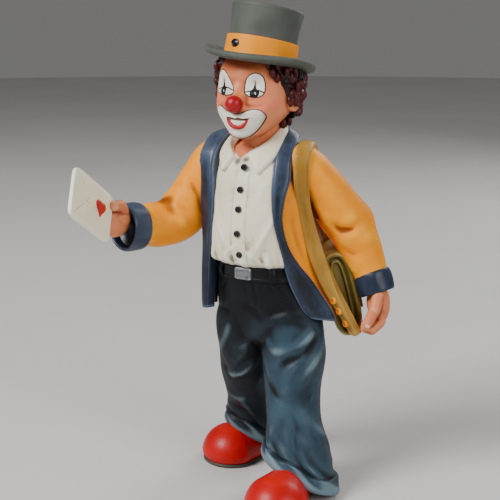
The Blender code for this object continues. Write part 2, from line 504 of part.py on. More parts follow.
for name, (toe, heading) in (("right", RIGHT_SHOE), ("left", LEFT_SHOE)):
    keep(f"{name} shoe", closed(shoe_rings(toe, heading, np.linspace(0, 0.985, 7), 22)))
    base = shoe_rings(toe, heading, (0.12, 0.12), 22, -0.3)
    base[0, :, 2], base[1, :, 2] = 0.0, SOLE_THICK
    keep(f"{name} sole", closed(base))


# Hands


def hand(name, wrist, along, back_of_hand, curl, thumb, grow):
    """Palm, fingers and thumb in the wrist's own frame: across, toward the back of the hand, and along it."""
    along = unit(along)
    across = unit(np.cross(back_of_hand, along))
    out = np.cross(along, across)
    frame = np.array([across, out, along])
    wrist = np.array(wrist, float)
    frame = frame * grow
    palm, faces = ball((0, 0, 4.2), (5.5, 3.9, 6.8), 5, 10)
    keep(f"{name} palm", (palm @ frame + wrist, faces))
    for number, (side, reach) in enumerate(FINGERS):
        steps = [(side * spread, lift, ahead + reach * (part > 0))
                 for part, (spread, lift, ahead) in enumerate(curl)]
        path = [np.array(step, float) @ frame + wrist for step in steps]
        for part in range(3):
            radius = (1.65 - 0.1 * part) * grow
            keep(f"{name} finger {number + 1}-{part + 1}", capsule(path[part], path[part + 1], radius))
    path = [np.array(step, float) @ frame + wrist for step in thumb]
    for part in range(len(path) - 1):
        keep(f"{name} thumb {part + 1}", capsule(path[part], path[part + 1], (2.1 - 0.2 * part) * grow))


FINGERS = ((-3.9, -0.8), (-1.3, 0.2), (1.3, 0.2), (3.8, -0.9))
HOLDING = ((0.9, 0.3, 6.4), (1.0, -0.2, 10.2), (0.95, -1.8, 13.2), (0.9, -3.0, 16.2))
FIST = ((0.9, 0.3, 6.4), (1.0, 0.7, 10.2), (1.0, -2.0, 13.0), (0.95, -4.8, 12.4))
hand("right", (-43.6, -36.6, 112.4), (-0.10, -0.92, 0.34), (-0.97, 0.18, 0.1), HOLDING,
     ((3.6, -1.0, 2.0), (5.8, -3.0, 6.6), (5.0, -4.0, 10.6)), 1.18)
hand("left", (47.4, 14.2, 84.0), (0.05, -0.18, -0.98), (0.86, 0.5, 0.1), FIST,
     ((-3.8, -0.8, 0.8), (-6.0, -2.0, 5.6), (-4.8, -4.0, 10.2)), 1.18)

# Letter with its seal
letter_frame = np.array([LETTER_LONG_AXIS, LETTER_DOWN_AXIS, -LETTER_FACE_AXIS])
keep("letter", block(LETTER_MIDDLE, LETTER_SIZE, letter_frame, 0.35, 9.0, 20))
a = np.linspace(0, 2 * math.pi, 18, endpoint=False)
across = 16 * np.sin(a) ** 3
down = -(13 * np.cos(a) - 5 * np.cos(2 * a) - 2 * np.cos(3 * a) - np.cos(4 * a))
rows = []
for grow, height in ((1.0, 0.3), (1.0, 1.35), (0.7, 1.85)):
    rows.append(np.stack([HEART_PLACE[0] + across * grow * HEART_SIZE / 32,
                          HEART_PLACE[1] + down * grow * HEART_SIZE / 32, 0 * a + height], axis=-1))
points, faces = closed(np.array(rows) @ letter_frame)
keep("seal", (points + np.array(LETTER_MIDDLE), faces))

# Shoulder bag
bag_frame = np.array([BAG_THICK_AXIS, BAG_RISE_AXIS, BAG_LENGTH_AXIS])
a = round_angles(22)
outline = np.stack([bend(np.sin(a), 3.0) * BAG_SIZE[0] / 2, -bend(np.cos(a), 3.0) * BAG_SIZE[2] / 2], axis=-1)
rows = []
for share, inset in ((-0.46, 2.3), (-0.5, 1.7), (-0.5, 0.7), (-0.48, 0.2), (-0.4, 0.0),
                     (0.4, 0.0), (0.48, 0.2), (0.5, 0.7), (0.5, 1.7), (0.46, 2.3)):
    ring = outline * (1 - inset / np.array([6.3, 18.0]))
    rows.append(np.column_stack([ring, np.full(len(ring), share * BAG_SIZE[1])]))
points, faces = closed(np.array(rows) @ bag_frame)
keep("bag", (points + np.array(BAG_MIDDLE), faces))
covered = (outline[:, 0] > -4.0) & (outline[:, 1] > -7.0)
flap = outline + np.where(covered, 0.9, -1.4)[:, None] * unit(outline * np.array([3.0, 1.0]))
rows = [np.column_stack([flap, np.full(len(flap), share * BAG_SIZE[1])]) for share in (-0.44, 0.44)]
points, faces = closed(np.array(rows) @ bag_frame)
keep("bag flap", (points + np.array(BAG_MIDDLE), faces))

across = unit(np.cross(np.gradient(smooth(STRAP_LINE, 29), axis=0), smooth(STRAP_OUT, 29)))
middle = smooth(STRAP_LINE, 29)
out = unit(smooth(STRAP_OUT, 29))
half = across * STRAP_WIDTH / 2
top = middle + out * 0.6
under = middle - out * (STRAP_THICK + 1.4)
rings = np.stack([top + half, top - half, under - half, under + half], axis=1)
keep("strap", closed(rings))
for number, share in enumerate((0.036, 0.072, 0.108)):
    place = smooth(STRAP_LINE, 200)[int(share * 199)] + unit(smooth(STRAP_OUT, 200)[int(share * 199)]) * 0.6
    keep(f"rivet {number + 1}", ball(place, (RIVET_RADIUS,) * 3, 3, 8))


def build(name, shape):
    """One closed skin as a mesh object in metres, faces outward."""
    points, faces = shape
    mesh = bpy.data.meshes.new(name)
    place = (np.asarray(points) + np.array([PLAN_SHIFT[0], PLAN_SHIFT[1], 0.0])) * SHARE
    mesh.from_pydata(place.tolist(), [], [tuple(map(int, f)) for f in faces])
    work = bmesh.new()
    work.from_mesh(mesh)
    bmesh.ops.remove_doubles(work, verts=work.verts, dist=0.000001)
    bmesh.ops.triangulate(work, faces=work.faces)
    bmesh.ops.recalc_face_normals(work, faces=work.faces)
    if work.calc_volume(signed=True) < 0:
        bmesh.ops.reverse_faces(work, faces=work.faces)
    work.to_mesh(mesh)
    work.free()
    item = bpy.data.objects.new(name, mesh)
    bpy.context.scene.collection.objects.link(item)
    return item


objects = [build(name, shape) for name, shape in pieces.items()]
body = objects[0]
body.name = "clown_figure"
group = bpy.data.collections.new("joined forms")
for item in objects[1:]:
    group.objects.link(item)
join = body.modifiers.new("join", "BOOLEAN")
join.operation = "UNION"
join.operand_type = "COLLECTION"
join.collection = group
join.solver = "EXACT"
baked = bpy.data.meshes.new_from_object(body.evaluated_get(bpy.context.evaluated_depsgraph_get()))
body.modifiers.clear()
body.data = baked
for item in objects[1:]:
    bpy.data.objects.remove(item, do_unlink=True)
bpy.data.collections.remove(group)


def islands(work):
    """Faces grouped by the skin that they belong to."""
    work.faces.ensure_lookup_table()
    seen = [False] * len(work.faces)
    groups = []
    for first in work.faces:
        if seen[first.index]:
            continue
        seen[first.index] = True
        members = [first]
        for face in members:
            for edge in face.edges:
                for other in edge.link_faces:
                    if not seen[other.index]:
                        seen[other.index] = True
                        members.append(other)
        groups.append(members)
    return sorted(groups, key=len)


# Pockets between the joined forms are filled: the casting is solid
work = bmesh.new()
work.from_mesh(baked)
bmesh.ops.remove_doubles(work, verts=work.verts, dist=WELD)
bmesh.ops.dissolve_degenerate(work, edges=work.edges, dist=WELD)
bmesh.ops.triangulate(work, faces=work.faces)
work.faces.index_update()
pockets = islands(work)[:-1]
bmesh.ops.delete(work, geom=[face for pocket in pockets for face in pocket], context="FACES")
joined = len(work.faces)
work.to_mesh(baked)
work.free()
thin = body.modifiers.new("thin", "DECIMATE")
thin.ratio = min(1.0, TRIANGLES / joined)
baked = bpy.data.meshes.new_from_object(body.evaluated_get(bpy.context.evaluated_depsgraph_get()))
body.modifiers.clear()
body.data = baked
work = bmesh.new()
work.from_mesh(baked)
bmesh.ops.triangulate(work, faces=work.faces)
work.to_mesh(baked)
open_edges = sum(1 for e in work.edges if len(e.link_faces) != 2)
print("pockets filled", len(pockets), "triangles", joined, "then", len(work.faces))
print("open edges", open_edges, "volume in ml", round(work.calc_volume() * 1e6, 1))
work.free()

paint = bpy.data.materials.new("painted_resin")
paint.use_nodes = True
shader = paint.node_tree.nodes["Principled BSDF"]
shader.inputs["Base Color"].default_value = (0.75, 0.42, 0.10, 1.0)
shader.inputs["Roughness"].default_value = 0.4
baked.materials.clear()
baked.materials.append(paint)
for face in baked.polygons:
    face.use_smooth = True
corners = np.array([v.co for v in baked.vertices])
print("bounds in mm", (corners.min(0) * 1000).round(2), (corners.max(0) * 1000).round(2))
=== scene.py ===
# %% [markdown]
# # A painted clown figurine
# The real thing is one casting in resin, about 200 mm tall, painted by hand. The CAD solid holds its form in
# few faces. Here every part of that form is worked out again on a fine grid, gets its folds, seams and locks
# as real shape, and is painted the way such a casting is: a base colour, a dark wash that stays in the
# hollows, and a light dry brush that only touches the crests. The wash also serves as painted shade in the
# hollows, and the dry brush as painted highlight on the crests.
#
# Lengths are in shares: the figure is 200 shares tall, so one share is one millimetre.

# %% Load the imported part
import math

import bmesh
import bpy
import numpy as np
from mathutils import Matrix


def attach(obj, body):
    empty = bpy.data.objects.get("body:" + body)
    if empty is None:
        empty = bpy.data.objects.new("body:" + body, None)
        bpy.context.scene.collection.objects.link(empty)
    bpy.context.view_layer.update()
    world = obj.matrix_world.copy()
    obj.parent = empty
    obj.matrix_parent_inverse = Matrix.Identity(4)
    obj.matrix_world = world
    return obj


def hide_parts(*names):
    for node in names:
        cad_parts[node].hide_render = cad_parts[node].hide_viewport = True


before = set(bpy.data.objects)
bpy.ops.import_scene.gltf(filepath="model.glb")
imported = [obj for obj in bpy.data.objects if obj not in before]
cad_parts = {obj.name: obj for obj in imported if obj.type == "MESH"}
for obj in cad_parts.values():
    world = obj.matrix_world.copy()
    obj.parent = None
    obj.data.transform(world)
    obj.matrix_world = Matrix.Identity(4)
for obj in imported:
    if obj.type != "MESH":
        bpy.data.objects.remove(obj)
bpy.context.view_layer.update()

# %% [markdown]
# ## Curves
# A form is given by a short table of stations, such as the front, back and half width of the body at a few
# heights. A cubic curve through the rows gives as many rings as wanted, so the same table serves the coarse
# solid and the fine surface here. Neighbouring rings are joined by quads, which is what lofting means.

# %% Curves and directions
SHARE = 0.001
SHIFT = np.array([-0.3, 17.2, 0.0])
ODD_WAY = (0.31, 0.17, 0.93)


def smooth(stations, count):
    """Cubic through the rows of a table at even steps: the two rows weighted by 2f^3 - 3f^2 + 1 and its
    remainder, plus their slopes weighted by f^3 - 2f^2 + f and f^3 - f^2."""
    rows = np.array(stations, float)
    t = np.linspace(0, len(rows) - 1, count)
    i = np.clip(t.astype(int), 0, len(rows) - 2)
    f = (t - i)[:, None]
    slope = np.gradient(rows, axis=0)
    return ((2 * f**3 - 3 * f**2 + 1) * rows[i] + (f**3 - 2 * f**2 + f) * slope[i]
            + (3 * f**2 - 2 * f**3) * rows[i + 1] + (f**3 - f**2) * slope[i + 1])


def unit(v):
    """Vectors divided by their own lengths."""
    v = np.asarray(v, float)
    return v / np.maximum(np.linalg.norm(v, axis=-1, keepdims=True), 1e-9)


def bend(value, power):
    """A sine or cosine pressed toward a squarer oval: its size to the power 2/power, sign kept."""
    return np.sign(value) * np.abs(value) ** (2.0 / power)


def turns(around):
    """Even angles once round, from the front (-Y) toward the figure's left (+X)."""
    return np.linspace(0, 2 * math.pi, around, endpoint=False)


def soft_step(value, low, high):
    """0 below low, 1 above high, and 3f^2 - 2f^3 between them."""
    f = np.clip((value - low) / (high - low), 0, 1)
    return f * f * (3 - 2 * f)


def square_to(axis):
    """Two directions square to an axis and to each other, by two cross products with an odd direction."""
    side = unit(np.cross(axis, ODD_WAY))
    return side, np.cross(axis, side)


print("one share is", SHARE, "m")

# %% [markdown]
# ## From rings to skins
# A skin is kept as its points, its quads and its triangles. Folds are low ridges laid over the rings, each
# a bell curve across its own line that fades out at both ends, so cloth keeps its body and only its surface
# moves.

# %% Rings into skins
def moved(shape, change):
    """The same skin with its points passed through a function."""
    return change(shape[0]), shape[1], shape[2]


def closed(rings):
    """Rings (rows, around, 3) as points, quads between neighbours, and a fan of triangles at both ends."""
    rows, around = rings.shape[:2]
    i, j = np.meshgrid(np.arange(rows - 1), np.arange(around), indexing="ij")
    k = (j + 1) % around
    quads = np.stack([i * around + j, i * around + k, (i + 1) * around + k, (i + 1) * around + j], axis=-1)
    j = np.arange(around)
    k = (j + 1) % around
    start = np.stack([np.full(around, rows * around), k, j], axis=-1)
    last = (rows - 1) * around
    end = np.stack([np.full(around, rows * around + 1), last + j, last + k], axis=-1)
    points = np.vstack([rings.reshape(-1, 3), rings[0].mean(0), rings[-1].mean(0)])
    return points, quads.reshape(-1, 4), np.vstack([start, end])


def fold_lift(angle, place, folds):
    """Soft ridges, each exp(-(angle off its line / width)^2 - (place off its middle / length)^2) high."""
    lift = 0 * (angle + place)
    for mid_angle, mid_place, drift, width, length, height in folds:
        off = (np.degrees(angle) - mid_angle - drift * (place - mid_place) + 180) % 360 - 180
        lift = lift + height * np.exp(-(off / width) ** 2 - ((place - mid_place) / length) ** 2)
    return lift


def ovals(stations, rows, around, power=2.0, folds=(), extra=None):
    """Rings of an upright form: x goes with the pressed sine, y with the pressed cosine of the angle."""
    z, cx, front, back, half, rise, side = smooth(stations, rows).T[:, :, None]
    a = turns(around)[None, :]
    lift = fold_lift(a, z, folds)
    if extra is not None:
        lift = lift + extra(a, z, np.linspace(0, 1, rows)[:, None])
    x = (half + lift) * bend(np.sin(a), power)
    y = -((back - front) / 2 + lift) * bend(np.cos(a), power)
    return np.stack([cx + x, (front + back) / 2 + y, z + rise * y + side * x], axis=-1)


def tube(stations, rows, around, guide, folds=(), level=False):
    """Rings square to a bent line (x, y, z, radius); the guide direction fixes their turn round the line.
    Level rings all lie square to the line's first third, for a line that turns back inside a mouth."""
    table = smooth(stations, rows)
    line, radius = table[:, :3], table[:, 3]
    along = unit(0 * line + line[rows // 3] - line[0]) if level else unit(np.gradient(line, axis=0))
    side = unit(np.cross(along, np.array(guide, float)))
    lift = np.cross(side, along)
    a = turns(around)[None, :]
    ring = side[:, None] * np.sin(a)[..., None] + lift[:, None] * np.cos(a)[..., None]
    reach = radius[:, None] + fold_lift(a, np.linspace(0, 1, rows)[:, None], folds)
    return closed(line[:, None] + ring * reach[..., None])


print("rings, ovals and tubes ready")

# %% [markdown]
# ## Bands, plates and turned parts
# A band is carried along two edge lines, a plate is a stack of rounded oblongs drawn in at its rims, a ball
# is pressed to three radii, and a turned part is a profile carried round an axis, as on a lathe.

# %% Bands, plates, balls and turned parts
def outline(wide, high, power, around):
    """A squared oval with even spacing: swept finely as half a side times the pressed sine and cosine, then
    read off at even steps of its length."""
    a = np.linspace(0, 2 * math.pi, 20001)
    line = np.stack([bend(np.sin(a), power) * wide / 2, -bend(np.cos(a), power) * high / 2], axis=-1)
    run = np.concatenate([[0], np.cumsum(np.linalg.norm(np.diff(line, axis=0), axis=1))])
    even = np.linspace(0, run[-1], around, endpoint=False)
    return np.stack([np.interp(even, run, line[:, k]) for k in (0, 1)], axis=-1)


def ribbon(edge_a, edge_b, thick, rows, around, crown=0.0, groove=0.0, groove_at=0.8, stand=0.0):
    """A band between two edge lines, its section a squared oval: a low crown, 1 - across^2, on its top and a
    groove, exp(-(distance / width)^2), along each edge."""
    a, b = smooth(edge_a, rows), smooth(edge_b, rows)
    middle, reach = (a + b) / 2, (b - a) / 2
    out = unit(np.cross(np.gradient(middle, axis=0), reach))
    half = np.interp(np.linspace(0, 1, rows), np.linspace(0, 1, np.size(thick)), np.ravel(thick)) / 2
    across, deep = outline(2.0, 0.7, 5, around).T
    deep = -deep / 0.35
    top = (crown * (1 - across**2) - groove * np.exp(-((np.abs(across) - groove_at) / 0.06) ** 2))
    height = half[:, None] * (deep[None, :] - 1) + top * (deep > 0.3) + np.array(stand)[..., None]
    return closed(middle[:, None] + reach[:, None] * across[None, :, None] + out[:, None] * height[..., None])


def plate(size, profile, around, power, axes, centre):
    """A slab of rounded oblong rings drawn in by the profile's rows of (inset, height)."""
    line = outline(size[0], size[1], power, around)
    inset, height = np.array(profile, float).T[:, :, None]
    ring = line[None] * (1 - 2 * inset[..., None] / np.array(size[:2]))
    rings = np.concatenate([ring, (height + 0 * ring[..., 0])[..., None]], axis=-1)
    return moved(closed(rings @ np.array(axes, float)), lambda points: points + np.array(centre, float))


def ball(centre, radii, rows=24, around=40, axes=None):
    """A ball pressed to three radii, its poles on the third axis."""
    v = np.linspace(-math.pi / 2, math.pi / 2, rows + 2)[1:-1][:, None]
    a = turns(around)[None, :]
    local = np.stack([np.cos(v) * np.sin(a) * radii[0], -np.cos(v) * np.cos(a) * radii[1],
                      np.sin(v) * radii[2] + 0 * a], axis=-1)
    turn = np.eye(3) if axes is None else np.array(axes, float)
    points, quads, tris = closed(local @ turn)
    points[-2:] = np.array([[0, 0, -radii[2]], [0, 0, radii[2]]]) @ turn
    return points + np.array(centre, float), quads, tris


def lathe(profile, centre, axis, around=48):
    """A profile (radius, height) carried round an axis."""
    axis = unit(axis)
    side, other = square_to(axis)
    r, h = np.array(profile, float).T[:, :, None]
    a = turns(around)[None, :, None]
    ring = (side * np.cos(a) + other * np.sin(a)) * r[..., None]
    return closed(ring + axis * h[..., None] + np.array(centre, float))


print("bands, plates, balls and turned parts ready")

# %% [markdown]
# ## Turning and leaning
# The head looks a little to one side and the hat is tipped back, so both are shaped upright and then turned
# about a pivot. The turn goes into the points themselves, and every object stays at the origin.

# %% Turning and leaning
def turned(points, pivot, degrees):
    """Points turned about an upright line; a positive turn carries the front toward +X."""
    a = math.radians(degrees)
    spin = np.array([[math.cos(a), -math.sin(a), 0], [math.sin(a), math.cos(a), 0], [0, 0, 1]])
    return (points - np.array(pivot, float)) @ spin.T + np.array(pivot, float)


def leaned(points, pivot, back, left):
    """Points tipped back (top toward +Y) and to the figure's left (+X) about a pivot, in degrees."""
    a, b = math.radians(back), math.radians(left)
    tip = np.array([[1, 0, 0], [0, math.cos(a), math.sin(a)], [0, -math.sin(a), math.cos(a)]])
    roll = np.array([[math.cos(b), 0, math.sin(b)], [0, 1, 0], [-math.sin(b), 0, math.cos(b)]])
    return (points - np.array(pivot, float)) @ tip.T @ roll.T + np.array(pivot, float)


print("turning and leaning ready")

# %% [markdown]
# ## From skins to pieces
# A piece is one mesh made of one or more closed skins. Where cloth or flesh runs together, as an arm into a
# shoulder, the skins are fused: a voxel remesh samples them on a grid of small cubes and gives one new skin,
# the way two lumps of clay become one. Seams, creases and folds then push its points along their normals.

# %% Mesh helpers
def solid(name, shapes):
    """One mesh of several skins, in metres in the shared frame, with every skin facing outward."""
    starts = np.cumsum([0] + [len(shape[0]) for shape in shapes[:-1]])
    points = (np.vstack([shape[0] for shape in shapes]) + SHIFT) * SHARE
    quads = np.vstack([shape[1] + start for shape, start in zip(shapes, starts)])
    tris = np.vstack([shape[2] + start for shape, start in zip(shapes, starts)])
    mesh = bpy.data.meshes.new(name)
    mesh.from_pydata(points.tolist(), [], quads.tolist() + tris.tolist())
    work = bmesh.new()
    work.from_mesh(mesh)
    bmesh.ops.remove_doubles(work, verts=work.verts, dist=0.0000005)
    bmesh.ops.recalc_face_normals(work, faces=work.faces)
    work.to_mesh(mesh)
    work.free()
    return mesh


def fused(name, shapes, voxel, rounds):
    """Skins made one by a voxel remesh (cube size in shares), then evened for a few rounds."""
    item = bpy.data.objects.new(name + "_parts", solid(name + "_parts", shapes))
    bpy.context.scene.collection.objects.link(item)
    join = item.modifiers.new("join", "REMESH")
    join.mode = "VOXEL"
    join.voxel_size = voxel * SHARE
    even = item.modifiers.new("even", "SMOOTH")
    even.factor = 0.5
    even.iterations = rounds
    mesh = bpy.data.meshes.new_from_object(item.evaluated_get(bpy.context.evaluated_depsgraph_get()))
    bpy.data.objects.remove(item)
    mesh.name = name
    return mesh


def shares_of(mesh):
    """Points in shares and their normals, as arrays."""
    points, normals = np.zeros((2, len(mesh.vertices) * 3))
    mesh.vertices.foreach_get("co", points)
    mesh.vertex_normals.foreach_get("vector", normals)
    return points.reshape(-1, 3) / SHARE - SHIFT, normals.reshape(-1, 3)


def set_shares(mesh, points):
    """Puts points in shares back into the mesh."""
    mesh.vertices.foreach_set("co", ((points + SHIFT) * SHARE).ravel())
    mesh.update()


print("mesh helpers ready")

# %% [markdown]
# ## Creases and crests
# A crease is a line over the cloth: near it the points move along their normals by a bell curve of the
# distance. Afterwards each point learns how far it stands above the evened-out skin. The paint uses that
# number as a painter's eye does, to find the crests for the dry brush and painted highlight, and the hollows
# for the wash and painted shade.

# %% Creases, crests and pieces
def neighbour_mean(mesh, values, rounds):
    """Each value replaced by the mean of its neighbours along the edges, some rounds over."""
    ends = np.zeros(len(mesh.edges) * 2, int)
    mesh.edges.foreach_get("vertices", ends)
    a, b = ends.reshape(-1, 2).T
    n = len(values)
    count = np.bincount(a, minlength=n) + np.bincount(b, minlength=n)
    values = values.copy()
    for _ in range(rounds):
        sums = [np.bincount(a, values[b, k], n) + np.bincount(b, values[a, k], n) for k in range(3)]
        values = np.stack(sums, axis=-1) / count[:, None]
    return values


def near_path(points, path):
    """Distance from each point to a smooth line through a few places, and the share of its length there."""
    line = smooth(path, 6 * len(path))
    gap, where = np.full(len(points), 99.0), np.zeros(len(points))
    for number, (start, end) in enumerate(zip(line[:-1], line[1:])):
        step = end - start
        t = np.clip((points - start) @ step / (step @ step), 0, 1)
        reach = np.linalg.norm(points - start - t[:, None] * step, axis=1)
        where = np.where(reach < gap, (number + t) / (len(line) - 1), where)
        gap = np.minimum(gap, reach)
    return gap, where


def crease(mesh, table, soft=1.0, strength=1.0):
    """Pushes points along their normals by height times exp(-(distance to the path / width)^2), fading out
    at both ends of the path; a row of the table is (places, width, height), scaled by soft and strength."""
    points, normals = shares_of(mesh)
    lift = np.zeros(len(points))
    for path, width, height in table:
        width, height = width * soft, height * strength
        path = np.array([points[np.argmin(((points - place) ** 2).sum(1))] for place in np.array(path)])
        near = np.all((points > path.min(0) - 3 * width) & (points < path.max(0) + 3 * width), axis=1)
        gap, where = near_path(points[near], path)
        lift[near] += height * np.exp(-(gap / width) ** 2) * np.sin(np.pi * np.clip(where, 0.03, 0.97)) ** 0.6
    set_shares(mesh, points + normals * lift[:, None])


def mark(mesh, name, values):
    """Keeps one number per point with the mesh, for the paint to read."""
    layer = mesh.attributes.new(name, "FLOAT", "POINT")
    layer.data.foreach_set("value", np.asarray(values, np.float32))


def mark_crest(mesh, rounds):
    """Height of each point over the evened-out skin, in shares: crests are above 0, hollows below."""
    points, normals = shares_of(mesh)
    over = ((points - neighbour_mean(mesh, points, rounds)) * normals).sum(1)
    mark(mesh, "crest", over - np.median(over))


def piece(name, shape, paint, crest_rounds=24):
    """Shows a mesh, or a list of skins, as a smooth piece of the figure that rides on its one body."""
    mesh = solid(name, shape) if isinstance(shape, list) else shape
    mark_crest(mesh, crest_rounds)
    mesh.materials.clear()
    mesh.materials.append(paint)
    mesh.polygons.foreach_set("use_smooth", np.ones(len(mesh.polygons), bool))
    item = bpy.data.objects.new(name, mesh)
    bpy.context.scene.collection.objects.link(item)
    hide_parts("clown_figure")
    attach(item, "root")
    print(name, len(mesh.polygons), "faces")
    return item


print("crease and crest helpers ready")

# %% [markdown]
# ## Paint as arithmetic
# In the shader editor every sum is a node. A small class wraps a socket and takes over the usual operators,
# so `1 - mask * 0.5` on a wrapped socket adds the Math nodes by itself. Colours go through Mix nodes.

# %% Shader arithmetic
class Wire:
    """A socket that can be added, multiplied and compared; each step adds one node."""

    def __init__(self, board, socket):
        self.board, self.socket = board, socket

    def math(self, operation, *values):
        return self.board.node("ShaderNodeMath", {"operation": operation}, dict(enumerate(values)))

    def __add__(self, other):
        return self.math("ADD", self, other)

    def __sub__(self, other):
        return self.math("SUBTRACT", self, other)

    def __rsub__(self, other):
        return self.math("SUBTRACT", other, self)

    def __mul__(self, other):
        return self.math("MULTIPLY", self, other)

    __radd__, __rmul__ = __add__, __mul__

    def step(self, low, high):
        """0 below low, 1 above high, smooth between."""
        return self.board.node("ShaderNodeMapRange", {"interpolation_type": "SMOOTHSTEP"},
                               {"Value": self, "From Min": low, "From Max": high})


BRUSH_DEPTH = 0.00008


class Board:
    """A material's nodes: one method adds any node, the others are short names for the ones used most."""

    def __init__(self, name):
        self.material = bpy.data.materials.new(name)
        self.material.use_nodes = True
        self.tree = self.material.node_tree
        self.shader = self.tree.nodes["Principled BSDF"]
        self.place = self.node("ShaderNodeTexCoord", {}, {}, "Object")

    def node(self, kind, settings, sockets, output=0):
        made = self.tree.nodes.new(kind)
        for key, value in settings.items():
            setattr(made, key, value)
        for key, value in sockets.items():
            if isinstance(value, Wire):
                self.tree.links.new(value.socket, made.inputs[key])
            else:
                made.inputs[key].default_value = value
        return Wire(self, made.outputs[output])

    def noise(self, scale, detail=2.0, stretch=(1, 1, 1), roughness=0.5):
        """Cloudy noise; scale is in waves a metre, stretch squeezes it along X, Y or Z."""
        place = self.place
        if stretch != (1, 1, 1):
            place = self.node("ShaderNodeMapping", {}, {"Vector": place, "Scale": stretch})
        return self.node("ShaderNodeTexNoise", {}, {
            "Vector": place, "Scale": scale, "Detail": detail, "Roughness": roughness})

    def read(self, name):
        return self.node("ShaderNodeAttribute", {"attribute_name": name}, {}, "Fac")

    def blend(self, mask, under, over):
        return self.node("ShaderNodeMix", {"data_type": "RGBA"}, {0: mask, 6: under, 7: over}, 2)

    def finish(self, colour, roughness, height, coat=0.0, metal=0.0, gleam=0.35):
        """Joins the paint to the shader; height is the relief of the brush marks, times BRUSH_DEPTH."""
        bump = self.node("ShaderNodeBump", {},
                         {"Height": height, "Distance": BRUSH_DEPTH, "Strength": 0.6}, "Normal")
        for key, wire in (("Base Color", colour), ("Roughness", roughness), ("Normal", bump)):
            self.tree.links.new(wire.socket, self.shader.inputs[key])
        for key, value in (("Coat Weight", coat), ("Specular IOR Level", gleam), ("Coat Roughness", 0.12),
                           ("Metallic", metal)):
            self.shader.inputs[key].default_value = value
        return self.material


print("shader arithmetic ready")

# %% [markdown]
# ## Layers of paint
# Every painted part gets the same layers: a body colour clouded with a second tone, a dark wash in the
# hollows that is also painted shade, a light dry brush on the crests that is also painted highlight, and a
# satin varnish with fine brush marks.

# %% Layers of paint
def rgb(red, green, blue):
    """A colour named by its 0 to 255 screen values, as the shader's linear light."""
    c = np.array([red, green, blue]) / 255
    return (*np.where(c < 0.04045, c / 12.92, ((c + 0.055) / 1.055) ** 2.4).tolist(), 1.0)


def coats(board, body, warm, deep, high, wash_and_shade, dry_brush_and_highlight, hollow_at=(0.02, 0.5), crest_at=(0.05, 0.5),
          stretch=(1, 1, 1)):
    """Hand painting in layers: body colour clouded with a second tone, a wash in the hollows that also
    darkens them as painted shade, and a dry brush on the crests that also lightens them as painted highlight.
    Both edges are broken up by noise, as a brush leaves them."""
    crest = board.read("crest")
    speckle = board.noise(420, 4, stretch, 0.6)
    bristle = board.noise(1500, 3, stretch, 0.6)
    colour = board.blend(board.noise(70, 3).step(0.35, 0.7), body, warm)
    # low is the dark wash and painted shade in the hollows, up the dry brush and painted highlight on the
    # crests
    low = (0 - crest + (speckle - 0.5) * 0.25).step(*hollow_at) * wash_and_shade
    up = (crest + (speckle - 0.5) * 0.3 + (bristle - 0.5) * 0.25).step(*crest_at) * dry_brush_and_highlight
    return board.blend(up, board.blend(low, colour, deep), high)


def enamel(name, body, warm, deep, high, wash_and_shade=0.7, dry_brush_and_highlight=0.35, rough=0.38, coat=0.25, stretch=(1, 1, 1),
           hollow_at=(0.02, 0.5), crest_at=(0.05, 0.5), gleam=0.35, also=(), paler_paint_and_highlight=()):
    """The usual finish of the figure: layered paint under a satin varnish with fine brush marks. Each pair in
    `also` is a value on the mesh and the colour painted where it is above 0. The last argument names a value
    that turns body and second tone softly into two lighter ones: painted highlight on the lapels and the
    right cuff, and on the trousers paler paint on the lower legs with painted highlight where they face the
    light. Colours are screen values from 0 to 255."""
    board = Board(name)
    body, warm, deep, high = (rgb(*tone) for tone in (body, warm, deep, high))
    if paler_paint_and_highlight:
        mask = (board.read(paler_paint_and_highlight[0]) + (board.noise(160, 4) - 0.5) * 0.3).step(0.0, 1.0)
        body, warm = board.blend(mask, body, rgb(*paler_paint_and_highlight[1])), board.blend(mask, warm, rgb(*paler_paint_and_highlight[2]))
    colour = coats(board, body, warm, deep, high, wash_and_shade, dry_brush_and_highlight, hollow_at, crest_at, stretch)
    for value, tone in also:
        colour = board.blend(board.read(value).step(0.02, 0.2), colour, rgb(*tone))
    brush = board.noise(900, 3, stretch)
    roughness = (board.noise(300, 3) - 0.5) * 0.18 + (board.noise(2200, 2) - 0.5) * 0.1 + rough
    return board.finish(colour, roughness, brush + board.noise(3200, 2) * 0.4, coat, gleam=gleam)


print("paint layers ready")

# %% [markdown]
# ## The paints
# The casting is painted, not dyed: cloth, leather and hair all have a thin satin skin of enamel. What tells
# them apart is the colour, how far the dark wash was wiped back, and how hard the dry brush was dragged;
# these two layers also carry painted shade in the hollows and painted highlight on the crests. The paint
# finds hollows and crests by the `crest` value that every piece carries.

# %% Paints of the clothes
hat_paint = enamel("felt grey paint", (74, 78, 73), (88, 91, 85), (20, 20, 19), (136, 138, 128), wash_and_shade=0.85,
                   dry_brush_and_highlight=0.4, rough=0.62, coat=0.0, crest_at=(0.1, 0.5), gleam=0.2)
